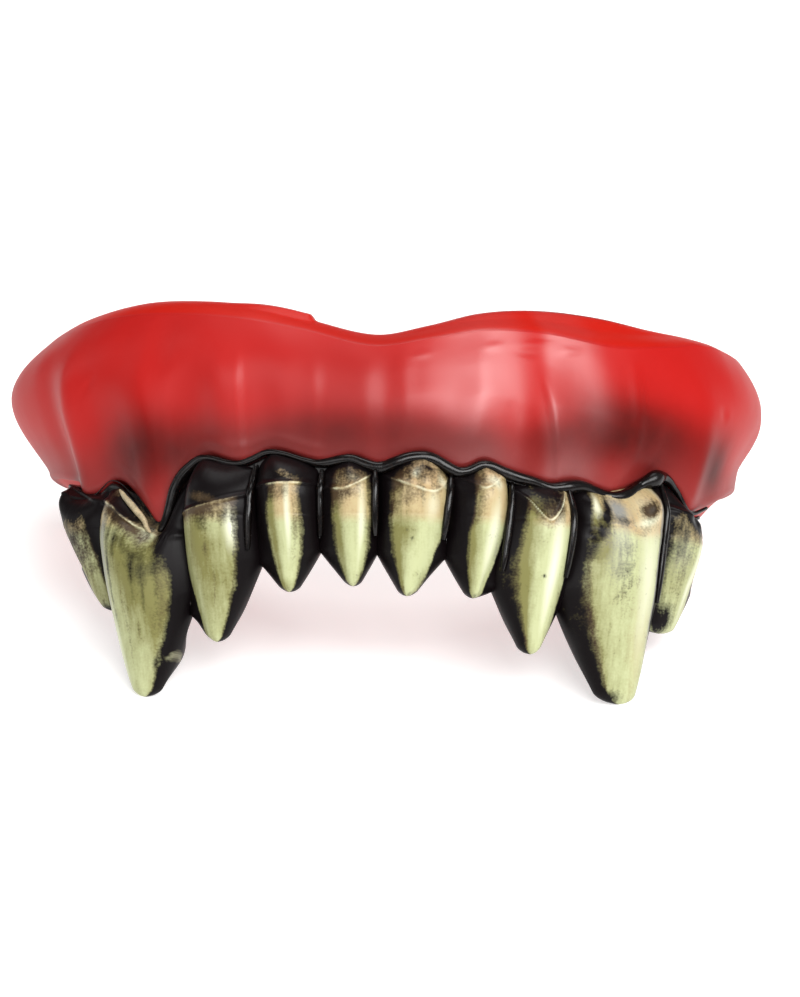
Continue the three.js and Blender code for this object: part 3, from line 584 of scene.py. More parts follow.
crownLooks = {
    # flanks: extra width, side, where along, spread up and down; blunt: extra width share at the tip
    # ridge: station and height along the lower edge of the collar; line: how light that edge is, in cream paint and
    # painted highlight
    # bumps: station, height, radius, rise; tan: how light the collar is
    # pale: left and right edge of the light face at the neck, then at the tip, in half widths
    # strokes: for each coat, across in half widths, along, width, length, strength
    # light strokes are painted highlights; grey strokes are grey mottling, and at the crowns' outer edges painted
    # reflections
    "back_tooth_left": {
        "flanks": [(0.8, -1, 0.05, 0.3, 0.2), (-1.7, -1, 0.42, 0.3, 0.35)], "blunt": 0.18,
        "ridge": [(-66, -1.6), (-58, -2.2), (-50.6, -3.3)], "line": 0.0, "bumps": [(-60.5, -2.2, 1.6, 0.6)],
        "pale": (-1.2, 0.55, -1.1, 0.3), "tan": 0.0,
        "strokes": {
            "soot": [(0, 0.0, 3, 0.22, 1.2), (0, 0.38, 3, 0.25, 0.36), (0, 1.0, 2, 0.06, 0.9)],
            "grey": [(-0.3, 0.4, 0.6, 0.2, 0.5)], "stain": [(-0.2, 0.45, 1.2, 0.25, 0.75)],
            "olive": [(-0.4, 0.8, 0.8, 0.3, 0.6)]}},
    "fang_left": {
        "flanks": [(0.5, 1, 0.45, 0.25, 0.2), (0.9, -1, 0.08, 0.3, 0.3)], "blunt": 0.07,
        "ridge": [(-49.5, -3.2), (-46, -4.0), (-43.1, -5.1), (-39.3, -6.4), (-36.7, -7.0)], "line": 0.9,
        "pale": (-1.4, 0.5, -1.3, 0.74), "tan": 0.5,
        "strokes": {
            "soot": [(-0.45, 0.05, 0.35, 0.05, 0.5), (-0.56, 0.38, 0.05, 0.26, 0.6),
                (-0.05, 0.17, 0.5, 0.05, 0.4), (0.3, 0.28, 0.3, 0.1, 0.25), (0.6, 0.5, 0.16, 0.2, -0.75),
                (0.5, 0.42, 0.06, 0.16, 0.5), (0.28, 0.42, 0.05, 0.14, 0.4), (0.05, 0.32, 0.05, 0.14, 0.4),
                (0.2, 0.24, 0.4, 0.07, 0.3), (-0.4, 0.22, 0.06, 0.12, 0.4), (0.98, 0.79, 0.16, 0.035, -1.0),
                (0.6, 0.8, 0.1, 0.05, 0.6)],
            "stain": [(-0.3, 0.06, 0.6, 0.06, 0.8), (-0.2, 0.6, 0.08, 0.3, 0.35),
                (0.12, 0.55, 0.05, 0.2, 0.35), (0.45, 0.5, 0.12, 0.2, 0.3)],
            "light": [(0.2, 0.03, 0.3, 0.04, 0.6), (-0.74, 0.75, 0.12, 0.22, 0.6),
                (-0.65, 0.75, 0.12, 0.3, 0.3), (0.98, 0.79, 0.16, 0.04, 0.4)],
            "grey": [(-0.74, 0.32, 0.13, 0.3, 0.75)],
            "olive": [(0, 0.25, 0.6, 0.18, 0.9), (0.1, 0.5, 0.4, 0.3, 0.6), (0.5, 0.5, 0.2, 0.25, 0.6)]}},
    "side_tooth_left": {
        "flanks": [(0.3, 1, 0.55, 0.25, 0.3)], "blunt": 0.02,
        "ridge": [(-31, -5.2), (-25.4, -4.5), (-21.1, -3.7), (-19.2, -3.2)], "line": 0.5,
        "pale": (-1.1, 0.6, -1.0, 0.72), "tan": 0.05,
        "strokes": {
            "stain": [(-0.2, 0.29, 0.7, 0.05, 0.6), (-0.1, 0.21, 1, 0.05, 0.8), (-0.1, 0.5, 0.08, 0.15, 0.4),
                (0.1, 0.7, 0.06, 0.25, 0.4)],
            "soot": [(-0.2, 0.22, 0.7, 0.035, -0.8), (0.3, 0.3, 0.25, 0.05, 0.5), (-0.15, 0.36, 0.2, 0.06, 0.4)],
            "light": [(0.55, 0.36, 0.14, 0.12, 1)], "grey": [(0.6, 0.42, 0.12, 0.12, 0.3)],
            "olive": [(-0.4, 0.45, 0.4, 0.2, 0.6), (0.1, 0.65, 0.6, 0.35, 0.7)]}},
    "front_tooth_left_2": {
        "blunt": 0.02, "ridge": [(-17.5, -3.0), (-14, -2.9), (-10.6, -2.9)], "line": 0.9,
        "pale": (-0.5, 0.4, -0.7, 0.72), "tan": 0.12,
        "strokes": {
            "tan": [(0.1, 0.26, 0.3, 0.05, 1)],
            "stain": [(-0.3, 0.3, 0.4, 0.08, 0.5), (0.35, 0.5, 0.1, 0.3, 0.5), (0.1, 0.98, 0.3, 0.03, 0.4)],
            "soot": [(-0.5, 0.3, 0.2, 0.08, 0.6), (0.1, 0.14, 0.5, 0.05, -0.45)],
            "light": [(0.12, 0.45, 0.1, 0.25, 0.9)],
            "olive": [(-0.4, 0.6, 0.15, 0.4, 0.6), (0, 0.97, 0.5, 0.05, 0.6)]}},
    "front_tooth_left_1": {
        "blunt": 0.02, "ridge": [(-8.6, -3.3), (-5.6, -3.4), (-3.4, -2.8), (-1.4, -1.9)], "line": 0.9,
        "pale": (-0.6, 0.65, -0.8, 0.82), "tan": 0.7,
        "strokes": {
            "stain": [(-0.3, 0.12, 0.8, 0.12, 0.45), (-0.5, 0.33, 0.3, 0.12, 0.5),
                (0.1, 0.29, 0.5, 0.04, 0.35), (-0.2, 0.98, 0.3, 0.03, 0.3)],
            "light": [(0.05, 0.15, 0.25, 0.04, 0.5), (0.4, 0.5, 0.13, 0.3, 0.7)],
            "soot": [(0, 0.02, 1.5, 0.06, 0.8), (0.1, 0.12, 0.5, 0.04, 0.3)],
            "olive": [(-0.5, 0.6, 0.2, 0.3, 0.5)]}},
    "front_tooth_right_1": {
        "blunt": 0.0, "ridge": [(-0.2, -2.0), (2.4, -2.7), (4.7, -3.2), (7.4, -3.6), (9.1, -3.0), (10.1, -1.9)],
        "line": 1.0, "pale": (-0.68, 0.95, -0.66, 0.98), "tan": 0.8,
        "strokes": {
            "stain": [(-0.5, 0.1, 0.5, 0.1, 0.6), (0.35, 0.15, 0.3, 0.05, 0.35), (-0.62, 0.34, 0.2, 0.1, 0.55),
                (-0.2, 0.32, 0.3, 0.06, 0.4), (-0.45, 0.96, 0.2, 0.04, 0.6)],
            "soot": [(-0.6, 0.03, 0.5, 0.07, 0.6), (0.3, 0.09, 0.22, 0.03, 0.55), (0, 0.6, 0.05, 0.015, 0.6),
                (0.3, 0.99, 0.6, 0.02, 0.5)],
            "light": [(-0.05, 0.13, 0.12, 0.04, 0.9), (0.75, 0.14, 0.15, 0.05, 0.6), (0.5, 0.36, 0.2, 0.12, 0.5)],
            "olive": [(-0.2, 0.55, 0.4, 0.12, 0.5), (-0.45, 0.8, 0.2, 0.25, 0.5)]}},
    "front_tooth_right_2": {
        "blunt": 0.0, "ridge": [(11.5, -2.0), (13.4, -2.6), (15.1, -3.1), (16.6, -2.7), (18.0, -1.9)], "line": 1.0,
        "pale": (-0.3, 1.05, -0.6, 1.05), "tan": 0.85,
        "strokes": {
            "stain": [(-0.3, 0.1, 0.35, 0.08, 0.7), (-0.3, 0.35, 0.35, 0.12, 0.65)],
            "light": [(0.4, 0.12, 0.3, 0.05, 0.7), (0.5, 0.55, 0.25, 0.3, 0.7)],
            "soot": [(-0.5, 0.3, 0.25, 0.12, 0.5), (0.2, 0.99, 0.5, 0.02, 0.5)],
            "olive": [(-0.3, 0.6, 0.4, 0.3, 0.6)], "grey": [(0.85, 0.65, 0.12, 0.2, 0.4)]}},
    "side_tooth_right": {
        "flanks": [(1.2, -1, 0.55, 0.25, 0.3)], "blunt": 0.07,
        "ridge": [(20.6, -3.0), (22.2, -3.8), (24.8, -5.6), (26.4, -4.9), (28.6, -2.8)], "line": 1.2,
        "pale": (-0.6, 1.15, -0.56, 1.1), "tan": 0.62,
        "strokes": {
            "stain": [(0.2, 0.15, 0.5, 0.08, 0.7), (-0.62, 0.6, 0.14, 0.3, 0.2), (-0.5, 0.93, 0.2, 0.05, 0.5),
                (-0.85, 0.7, 0.2, 0.2, 0.2)],
            "soot": [(0, 0.05, 1.0, 0.06, 0.5), (0.1, 0.55, 0.05, 0.012, 0.8), (-0.8, 0.62, 0.16, 0.22, -0.6)],
            "olive": [(-0.1, 0.14, 0.6, 0.07, 1.0), (-0.5, 0.6, 0.3, 0.35, 0.9), (-0.85, 0.65, 0.2, 0.2, 0.6)],
            "tan": [(0.3, 0.2, 0.3, 0.05, 0.7)], "light": [(0.35, 0.5, 0.2, 0.35, 0.9)],
            "grey": [(1.0, 0.4, 0.08, 0.3, 0.5)]}},
    "fang_right": {
        "flanks": [(1.2, -1, 0.55, 0.25, 0.3), (1.3, 1, 0.08, 0.2, 0.16)], "blunt": 0.19,
        "ridge": [(30.8, -1.9), (33.4, -2.1), (38.0, -2.7), (42.0, -1.7), (45.0, -1.1)], "line": 0.0,
        "bumps": [(44.4, -3.2, 1.1, 0.6), (33.2, -3.6, 0.7, 0.35), (30.4, -5.0, 0.5, -0.3),
            (35.0, -3.6, 0.5, -0.3), (34.0, -5.0, 0.5, -0.3), (33.0, -6.6, 0.5, -0.25), (38.0, -4.0, 1.0, -0.2)],
        "pale": (-0.68, 1.15, -0.66, 1.05), "tan": 0.85,
        "strokes": {
            "soot": [(-0.78, 0.1, 0.1, 0.12, 0.9), (-0.28, 0.06, 0.08, 0.05, 0.9),
                (-0.36, 0.13, 0.08, 0.05, 0.9), (-0.48, 0.2, 0.08, 0.05, 0.8), (-0.58, 0.27, 0.08, 0.06, 0.6),
                (-0.02, 0.13, 0.25, 0.03, 0.4), (0.0, 0.36, 0.2, 0.15, 0.3), (0.8, 0.35, 0.03, 0.3, 0.3),
                (0.66, 0.1, 0.11, 0.03, 0.5), (-0.95, 0.6, 0.2, 0.2, -0.5), (-0.5, 0.97, 0.4, 0.03, 0.7)],
            "light": [(-0.55, 0.08, 0.1, 0.06, 0.8), (0.5, 0.42, 0.25, 0.35, 0.6), (0.55, 0.15, 0.25, 0.02, 0.6)],
            "olive": [(-0.5, 0.24, 0.15, 0.08, 1.1), (-0.5, 0.22, 0.2, 0.08, 0.6), (0, 0.5, 0.8, 0.5, 0.15)],
            "stain": [(-0.45, 0.2, 0.15, 0.08, 0.6), (0.0, 0.5, 0.2, 0.12, 0.3), (0.62, 0.1, 0.17, 0.045, 1.3),
                (0.45, 0.18, 0.3, 0.04, 0.4), (-0.9, 0.62, 0.25, 0.25, 0.35), (-0.6, 0.7, 0.12, 0.2, 0.4)],
            "grey": [(-0.05, 0.07, 0.25, 0.07, 0.8), (-0.1, 0.28, 0.35, 0.2, 0.5), (0.86, 0.4, 0.05, 0.4, 1.1)],
            "tan": [(0.5, 0.7, 0.4, 0.3, 0.35), (0.5, 0.17, 0.35, 0.05, 1)]}},
    "back_tooth_right": {
        "blunt": 0.42, "ridge": [(49, -3.0), (54, -3.6), (59, -3.6)], "line": 0.0,
        "bumps": [(51.0, -4.0, 0.6, 0.3), (54.0, -3.2, 0.7, 0.35), (57.0, -4.0, 0.6, 0.3)],
        "pale": (-1.3, 1.3, -1.3, 1.2), "tan": 0.0,
        "strokes": {
            "soot": [(0, 0.05, 3, 0.16, 1.2), (-0.3, 0.35, 0.5, 0.15, 0.5), (-0.2, 0.92, 0.45, 0.12, 1),
                (-0.7, 0.6, 0.2, 0.6, 0.7)], "grey": [(-0.1, 0.42, 0.5, 0.25, 0.5)],
            "olive": [(0, 0.55, 0.6, 0.3, 0.5)], "stain": [(0.0, 0.6, 0.3, 0.2, 0.35)],
            "light": [(0.6, 0.5, 0.14, 0.4, 0.8)]}}}


def collarEdge(looks, at):  # height of the collar's lower edge
    rows = looks["ridge"]
    return between(rows, 1, np.clip(at, rows[0][0], rows[-1][0]))


def crownMasks(looks, index, along, share, facing, flange, at, height, top):  # how much of each coat a point has
    paint = crownPaint
    overRidge = height - collarEdge(looks, at)
    collar = ease(*paint["collarBand"], overRidge)
    # painted shade on the collar tops, just under the rope and the gum's lip
    underRopeShade = collar * ease(*paint["ropeBand"], height - top)
    leftward = 1 - ease(*paint["leftBand"], share)
    neckLeft, neckRight, tipLeft, tipRight = looks["pale"]
    left, right = mix(neckLeft, tipLeft, along), mix(neckRight, tipRight, along)
    edges = np.maximum(1 - ease(left - paint["edgeOut"], left + paint["edgeIn"], share),
                       ease(right - paint["edgeIn"], right + paint["edgeOut"], share))
    edges = np.maximum(edges, np.maximum(1 - ease(*paint["sideBand"], facing), ease(*paint["skirtBand"], flange)))
    tipEdge = ease(*paint["tipEdgeBand"], np.abs(share)) * ease(*paint["tipBand"], along)
    edges = np.maximum(edges, paint["sootTipEdge"] * tipEdge)
    wash = np.maximum(1 - ease(left - paint["washOut"], left + paint["washLeft"], share),
                      ease(right - paint["washRight"], right + paint["washOut"], share))
    first, last, fade = looks["ridge"][0][0], looks["ridge"][-1][0], paint["lineFade"]
    inRidge = ease(first - fade, first + fade, at) * (1 - ease(last - fade, last + fade, at))
    fast, slow = paint["lineWaves"]
    patchy = paint["lineEven"] + (1 - paint["lineEven"]) * np.sin(fast * at + index) * np.sin(slow * at + 1)
    line = looks["line"] * patchy * hump(overRidge, paint["lineBelow"], paint["lineAbove"])
    line = line * ease(*crownSizes["faceBand"], facing) * inRidge * (1 - paint["lineUnderSoot"] * edges)
    neck = ease(*paint["neckBand"], overRidge) * (1 - collar)
    # the black coat holds black paint, dark specks and painted shade under the rope; the light coat holds painted
    # highlights
    masks = {
        "soot": np.maximum(paint["sootEdge"] * edges, np.maximum(
            paint["sootCollar"] * collar * (1 - looks["tan"]), paint["sootAll"] + paint["sootRope"] * underRopeShade)),
        "stain": paint["stainCollar"] * collar + neck * (paint["stainNeck"] + paint["stainLeft"] * leftward)
        + paint["stainFringe"] * ease(*paint["fringeBand"], edges),
        "tan": np.maximum(collar, paint["tanSeam"] * ease(*paint["seamBand"], height - crownSizes["seam"])),
        "light": np.zeros_like(at), "grey": np.zeros_like(at),
        "olive": paint["oliveAll"] + paint["oliveWash"] * wash + paint["oliveLeft"] * leftward}
    for coat, strokes in looks["strokes"].items():
        for strokeAcross, strokeAlong, wide, tall, strength in strokes:
            brush = np.exp(-((share - strokeAcross) / wide) ** 2 - ((along - strokeAlong) / tall) ** 2)
            masks[coat] = np.clip(masks[coat] + strength * brush, 0, paint["most"])
    masks["soot"] = masks["soot"] * (1 - paint["lineOverBlackAndShade"] * line)
    masks["stain"] = masks["stain"] * (1 - paint["lineOverStain"] * line)
    masks["tan"] = np.maximum(masks["tan"], line)
    # painted highlight along the ridge line
    masks["light"] = np.maximum(masks["light"], paint["lineLight"] * line)
    return masks


def toothCrown(row, index):  # rings from under the bead down to the tip
    size = crownSizes
    name, station, width, out, back, skew, tip, lean, tuck = row[:9]
    looks = crownLooks[name]
    along = np.linspace(0, 1, size["rings"])[:, None]
    angle = (2 * np.pi * np.arange(size["sides"]) / size["sides"])[None]
    facing, across = np.cos(angle), np.sin(angle)
    front = np.maximum(facing, 0)
    tipEnd = np.clip((along - (1 - size["tipRound"])) / size["tipRound"], 0, size["tipCut"])
    narrow = np.sqrt(1 - tipEnd ** 2)
    half = width / 2 * (between(crownRows, 1, along) + looks["blunt"] * ease(*size["bluntBand"], along))
    share = across + skew * front ** 2
    sideways = lean * along + half * narrow * share
    for amount, side, middle, upward, downward in looks.get("flanks", []):
        flank = np.maximum(side * across, 0) ** size["flankPower"] * hump(along - middle, upward, downward)
        sideways = sideways + side * amount * flank * narrow
    middleHeight = mix(gumLine(station), tip, along)
    flange = 0
    for side, seam in ((-1, seamStations[index]), (1, seamStations[index + 1])):  # skirts to the seams, then the tip
        web = webEdge(seam)
        toTip = np.clip((web - middleHeight) / (web - tip), 0, 1)
        reach = mix(size["overlap"] * (seam - station) * mmPerDegree(station), lean + side * half[-1, 0], toTip)
        skirt = np.maximum(side * (reach - lean * along) - half, 0) * ease(*size["skirtBand"], along)
        spread = skirt * np.maximum(side * across, 0) ** size["skirtPower"] * narrow
        sideways = sideways + side * spread
        flange = flange + spread
    at = station + sideways / mmPerDegree(station)
    top = lowestLine(at, size["reach"]) - size["collarTop"]
    height = mix(top, tip, along)
    clear = webEdge(at) - size["webClearance"]
    below = np.clip((clear - height) / (clear - tip), 0, 1)
    tipBack = out * crownRows[-1][2] + tuck - size["tipThickness"]
    seat = mix(size["seat"], tipBack, below)
    face = out * between(crownRows, 2, along) + tuck * along ** 2
    middle = (face + seat) / 2
    behind = seat - size["backSwell"] * back * np.sin(np.pi * below) * (1 - below) * np.abs(facing)
    depth = np.where(facing > 0, mix(seat, face, front ** size["fullness"]), behind)
    depth = middle + (depth - middle) * narrow
    overRidge = height - collarEdge(looks, at)
    onFace = ease(*size["faceBand"], facing)
    depth = depth + onFace * size["lip"] * hump(overRidge, size["lipWidth"], size["lipWidth"] * size["lipSpread"])
    depth = depth - onFace * size["recess"] * ease(*size["recessBand"], overRidge)
    depth = depth - onFace * size["seamDepth"] * hump(height - size["seam"], size["seamWidth"], size["seamWidth"])
    for bumpStation, bumpHeight, radius, rise in looks.get("bumps", []):
        away = ((at - bumpStation) * mmPerDegree(bumpStation)) ** 2 + (height - bumpHeight) ** 2
        depth = depth + onFace * rise * np.exp(-away / radius ** 2)
    crownFaces.append(np.stack([at, depth, height], axis=-1)[np.broadcast_to(facing > 0, at.shape)])
    level = archPlace(at, depth, height)
    level[..., 2] = np.maximum(level[..., 2], standHeight(level[..., 1]))
    masks = crownMasks(looks, index, along, share, facing, flange, at, height, top)
    masks["flat"] = np.stack(np.broadcast_arrays(sideways, height, size["patternStep"] * index), axis=-1)
    piece = tubeMesh(name + "_stained", level, toothMaterial, masks)
    settle(piece, "stained_vinyl", name)


for index, row in enumerate(toothRows):
    toothCrown(row, index)


# Painted beads: a rope of pooled paint along the gum line, a thinner strand under it, seams between the crowns,
# and the pale lip of the left fang's collar, with a little painted highlight on it

def beadTree():  # a round bead swept along a path, with a little wobble
    tree = bpy.data.node_groups.new("painted bead", "GeometryNodeTree")
    face = tree.interface
    for name, kind, value in (("Path", "NodeSocketObject", None), ("Thickness", "NodeSocketFloat", 0.4 * mm),
                              ("Spacing", "NodeSocketFloat", 0.25 * mm), ("Wobble", "NodeSocketFloat", 0.1 * mm),
                              ("Wobble Size", "NodeSocketFloat", 2 * mm), ("Sides", "NodeSocketInt", 14),
                              ("Seed", "NodeSocketFloat", 1.0), ("Paint", "NodeSocketMaterial", None)):
        socket = face.new_socket(name, in_out="INPUT", socket_type=kind)
        if value is not None:
            socket.default_value = value
    face.new_socket("Geometry", in_out="OUTPUT", socket_type="NodeSocketGeometry")
    given = tree.nodes.new("NodeGroupInput").outputs
    path = addNode(tree, "GeometryNodeObjectInfo", Object=given["Path"])
    points = addNode(tree, "GeometryNodeResampleCurve", {"mode": "LENGTH"}, Curve=path.outputs["Geometry"],
                     Length=given["Spacing"])
    place = addNode(tree, "GeometryNodeInputPosition")
    density = addNode(tree, "ShaderNodeMath", {"operation": "DIVIDE"}, _0=1.0, _1=given["Wobble Size"])
    field = addNode(tree, "ShaderNodeTexNoise", {"noise_dimensions": "4D"}, Vector=place.outputs[0],
                    W=given["Seed"], Scale=density.outputs[0], Detail=2.0)
    centred = addNode(tree, "ShaderNodeVectorMath", {"operation": "SUBTRACT"}, _0=field.outputs["Color"],
                      _1=(0.5, 0.5, 0.5))
    shift = addNode(tree, "ShaderNodeVectorMath", {"operation": "SCALE"}, _0=centred.outputs[0],
                    Scale=given["Wobble"])
    moved = addNode(tree, "GeometryNodeSetPosition", Geometry=points.outputs["Curve"], Offset=shift.outputs[0])
    profile = addNode(tree, "GeometryNodeCurvePrimitiveCircle", {"mode": "RADIUS"}, Resolution=given["Sides"],
                      Radius=given["Thickness"])
    radius = addNode(tree, "GeometryNodeInputRadius")
    bead = addNode(tree, "GeometryNodeCurveToMesh", Curve=moved.outputs["Geometry"],
                   Profile_Curve=profile.outputs["Curve"], Scale=radius.outputs[0], Fill_Caps=True)
    smooth = addNode(tree, "GeometryNodeSetShadeSmooth", Geometry=bead.outputs["Mesh"])
    solid = addNode(tree, "GeometryNodeRealizeInstances", Geometry=smooth.outputs["Geometry"])
    painted = addNode(tree, "GeometryNodeSetMaterial", Geometry=solid.outputs["Geometry"], Material=given["Paint"])
    addNode(tree, "NodeGroupOutput", _0=painted.outputs["Geometry"])
    return tree


beadSizes = {
    "rope": {"Thickness": 0.52 * mm, "Wobble": 0.4 * mm, "Wobble Size": 3 * mm, "Seed": 3.0},
    "strand": {"Thickness": 0.24 * mm, "Wobble": 0.3 * mm, "Wobble Size": 2 * mm, "Seed": 8.0},
    "seams": {"Thickness": 0.36 * mm, "Wobble": 0.1 * mm, "Wobble Size": 2 * mm, "Seed": 5.0},
    "lip": {"Thickness": 0.3 * mm, "Wobble": 0.3 * mm, "Wobble Size": 2 * mm, "Seed": 4.0}}
beadRuns = {  # where each bead runs, how far out it lies and how it thins out at its ends
    "rope": {"start": -60, "end": 63, "points": 360, "out": 0.3, "swell": 0.55},
    "strand": {"start": 18.5, "end": 47.5, "points": 90, "out": 0.75, "drop": 0.85, "ends": 0.03, "blunt": 0.4},
    "seams": {"points": 40, "out": 0.6, "top": -0.8, "foot": 0.8, "ends": 0.03, "blunt": 0.3},
    "lip": {"start": -46.8, "end": -38.4, "points": 60, "out": 0.3, "drop": 0.5, "ends": 0.04, "blunt": 0.5}}
crownTouch = {"near": 0.3, "smoothing": 5}
# the lip's light share is painted highlight on its wet edge
lipCoats = {"tan": 1.0, "stain": 0.35, "light": 0.3}
ropeRows = [  # station, share of the full thickness, lift from the gum line
    (-60, 0.15, -0.1), (-40, 0.15, -0.15), (-37, 0.8, -0.3), (-33, 0.9, -0.4), (-28, 0.6, -0.25), (-20, 0.55, -0.2),
    (-13, 0.5, -0.2), (-8, 0.8, -0.25), (-2, 1.0, -0.4), (6, 1.15, -0.45), (13, 0.9, -0.4), (20, 1.0, -0.4),
    (26, 0.9, -0.4), (30, 1.2, -0.4), (35, 0.9, -0.4), (40, 1.15, -0.4), (44, 0.9, -0.3), (46.5, 1.5, -0.3),
    (49, 0.9, -0.3), (54, 0.5, -0.1), (63, 0.3, 0.0)]
seamRows = [  # station at the top, at the foot
    (-20.5, -20.8), (-9.6, -9.6), (-1.2, -1.0), (10.5, 9.4), (20.3, 18.6), (29.6, 28.6), (48.4, 47)]


def beadPath(name, runs):  # each run is level points and the share of thickness at each
    curve = bpy.data.curves.new(name, "CURVE")
    curve.dimensions = "3D"
    for points, shares in runs:
        spline = curve.splines.new("POLY")
        spline.points.add(len(points) - 1)
        for point, place, share in zip(spline.points, finishPoints(points), shares):
            point.co = (*place, 1.0)
            point.radius = share
    return addObject(name, curve)


def overCrowns(stations, heights, lowest):  # how far out the crowns stand at each place
    faces = np.concatenate(crownFaces)
    outs = []
    for station, height in zip(stations, heights):
        away = np.hypot((faces[:, 0] - station) * mmPerDegree(station), faces[:, 2] - height)
        outs.append(np.max(faces[away < crownTouch["near"], 1], initial=lowest))
    window = crownTouch["smoothing"]
    return np.convolve(np.pad(outs, window // 2, mode="edge"), np.full(window, 1 / window), mode="valid")


def paintedBead(tree, name, runs, sizes, paint=blackMaterial, slotName="black_vinyl", coats=None):
    path = beadPath(name + "_path", runs)
    holder = addObject(name + "_holder", bpy.data.meshes.new(name + "_holder"))
    modifier = holder.modifiers.new("painted bead", "NODES")
    modifier.node_group = tree
    sockets = {item.name: item.identifier for item in tree.interface.items_tree if item.in_out == "INPUT"}
    for key, value in {**sizes, "Path": path, "Paint": paint}.items():
        modifier[sockets[key]] = value
    bpy.context.view_layer.update()
    evaluated = holder.evaluated_get(bpy.context.evaluated_depsgraph_get())
    mesh = bpy.data.meshes.new_from_object(evaluated)
    mesh.name = name
    piece = addObject(name, mesh)
    bpy.data.objects.remove(holder)
    bpy.data.objects.remove(path)
    if coats:
        for coat, strength in coats.items():
            addLayer(mesh, coat, [strength] * len(mesh.vertices))
        addLayer(mesh, "flat", np.array([vertex.co for vertex in mesh.vertices], np.float32) / mm)
    settle(piece, slotName)


def stationsOf(run):
    return np.linspace(run["start"], run["end"], run["points"])


def thinEnds(run):  # share of thickness along a run
    return np.sin(np.pi * np.linspace(run["ends"], 1 - run["ends"], run["points"])) ** run["blunt"]


def paintedBeads():
    tree = beadTree()
    run = beadRuns["rope"]
    at = stationsOf(run)
    shares = between(ropeRows, 1, at)
    up = gumLine(at) + between(ropeRows, 2, at)
    rope = archPlace(at, run["out"] + run["swell"] * shares, up)
    paintedBead(tree, "gum_line_rope", [(rope, shares)], beadSizes["rope"])
    run = beadRuns["strand"]
    at = stationsOf(run)
    strand = archPlace(at, run["out"], gumLine(at) - run["drop"])
    paintedBead(tree, "gum_line_strand", [(strand, thinEnds(run))], beadSizes["strand"])
    run = beadRuns["seams"]
    seams = []
    for topStation, footStation in seamRows:
        down = np.linspace(0, 1, run["points"])
        at = mix(topStation, footStation, down)
        up = mix(gumLine(topStation) + run["top"], webEdge(footStation) + run["foot"], down)
        seams.append((archPlace(at, overCrowns(at, up, run["out"]), up), thinEnds(run)))
    paintedBead(tree, "web_seams", seams, beadSizes["seams"])
    run = beadRuns["lip"]
    at = stationsOf(run)
    up = gumLine(at) - run["drop"]
    lip = archPlace(at, overCrowns(at, up, run["out"]), up)
    paintedBead(tree, "fang_collar_lip", [(lip, thinEnds(run))], beadSizes["lip"], toothMaterial, "stained_vinyl",
                lipCoats)


paintedBeads()


# Stage: floor, light and camera

cameraSizes = {
    "azimuth": 1.9, "elevation": 26.8, "distance": 400.0, "aim": (0.0, 0.0, 15.0), "right": 1.75, "up": -4.35,
    "sensor": 36.0, "pixelsPerMm": 11.25, "imageHeight": 997, "clipStart": 10}
lights = [  # name, azimuth, elevation, distance, width, height, watts
    ("overhead softbox, right", 38.0, 48.0, 900.0, 900.0, 440.0, 11.2),
    ("top light, behind", 180.0, 62.0, 900.0, 500.0, 500.0, 3.2),
    ("front fill", -38.0, 34.0, 900.0, 600.0, 500.0, 2.0),
    ("window, left", -105.0, 28.0, 900.0, 260.0, 700.0, 0.7)]
lightAim = 15  # height that the lights point at
worldLight = {"colour": "#ffffff", "front": 0.45, "behind": 0.12, "towards": (0.5, -0.86, 0.0), "fade": (-0.6, 1.0)}
floorFinish = {"colour": "#cfcfce", "glow": 0.95, "roughness": 0.9, "size": 3000.0}


def direction(azimuth, elevation):  # from the object towards a place at that angle
    a, e = math.radians(azimuth), math.radians(elevation)
    return Vector((math.sin(a) * math.cos(e), -math.cos(a) * math.cos(e), math.sin(e)))


def lookAt(thing, target):
    thing.rotation_euler = (target - thing.location).to_track_quat("-Z", "Y").to_euler()


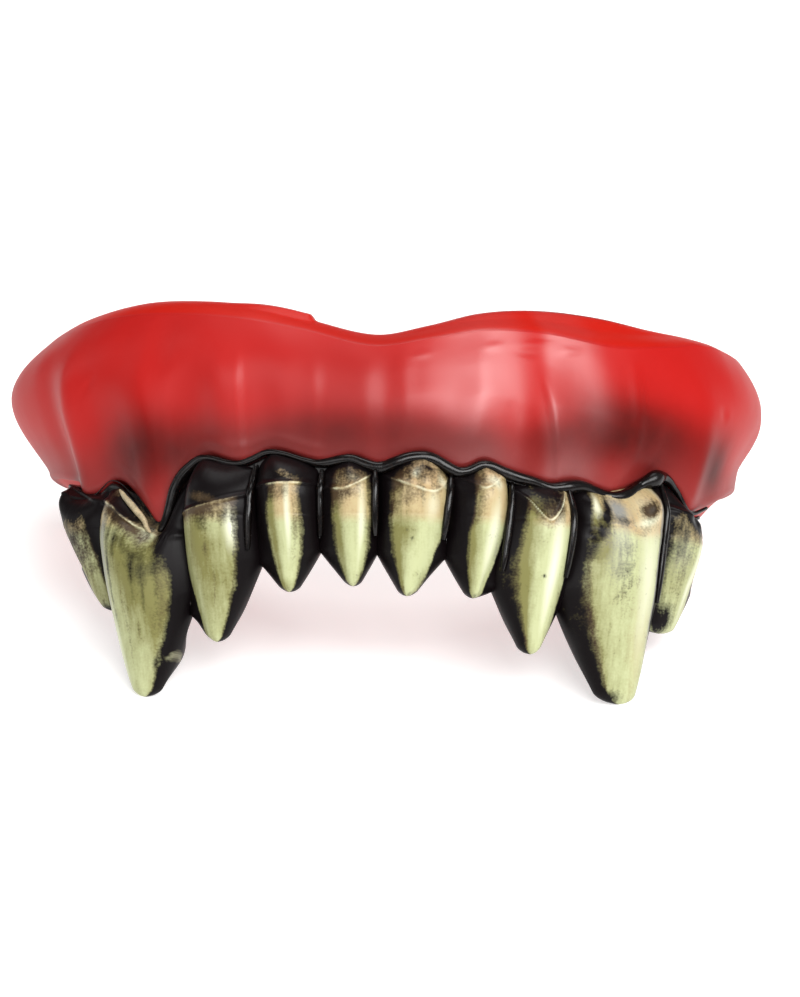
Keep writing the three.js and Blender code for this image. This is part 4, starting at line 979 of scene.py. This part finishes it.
def stageSet():
    half = floorFinish["size"] / 2 * mm
    mesh = bpy.data.meshes.new("floor")
    mesh.from_pydata([(-half, -half, 0), (half, -half, 0), (half, half, 0), (-half, half, 0)], [], [(0, 1, 2, 3)])
    material, tree, shader = newMaterial("pale card, lit from below")
    colour = linear(floorFinish["colour"])
    setInputs(tree, shader, {"Base Color": colour, "Roughness": floorFinish["roughness"], "Emission Color": colour,
                             "Emission Strength": floorFinish["glow"]})
    mesh.materials.append(material)
    addObject("floor", mesh)
    target = Vector((0, 0, lightAim * mm))
    for name, azimuth, elevation, distance, width, height, watts in lights:
        lamp = bpy.data.lights.new(name, "AREA")
        lamp.shape = "RECTANGLE"
        lamp.size, lamp.size_y = width * mm, height * mm
        lamp.energy = watts
        holder = addObject(name, lamp)
        holder.location = target + direction(azimuth, elevation) * distance * mm
        lookAt(holder, target)
    world = bpy.data.worlds.new("plain light room")
    world.use_nodes = True
    tree = world.node_tree
    way = addNode(tree, "ShaderNodeTexCoord")
    toFront = addNode(tree, "ShaderNodeVectorMath", {"operation": "DOT_PRODUCT"}, _0=way.outputs["Generated"],
                      _1=worldLight["towards"])
    behind, front = worldLight["fade"]
    level = addNode(tree, "ShaderNodeMapRange", Value=toFront.outputs["Value"], _1=behind, _2=front,
                    _3=worldLight["behind"], _4=worldLight["front"])
    setInputs(tree, tree.nodes["Background"], {"Color": linear(worldLight["colour"]),
                                               "Strength": level.outputs["Result"]})
    bpy.context.scene.world = world
    bpy.context.scene.view_settings.view_transform = "Standard"


def photoCamera():
    size = cameraSizes
    towards = direction(size["azimuth"], size["elevation"])
    right = Vector((math.cos(math.radians(size["azimuth"])), math.sin(math.radians(size["azimuth"])), 0))
    up = towards.cross(right)
    aim = (Vector(size["aim"]) + right * size["right"] + up * size["up"]) * mm
    lens = bpy.data.cameras.new("photo camera")
    lens.sensor_fit = "VERTICAL"
    lens.sensor_height = size["sensor"]
    lens.lens = size["sensor"] * size["distance"] * size["pixelsPerMm"] / size["imageHeight"]
    lens.clip_start = size["clipStart"] * mm
    camera = addObject("photo camera", lens)
    camera.location = aim + towards * size["distance"] * mm
    lookAt(camera, aim)
    bpy.context.scene.camera = camera


stageSet()
photoCamera()
print("stage and camera set")
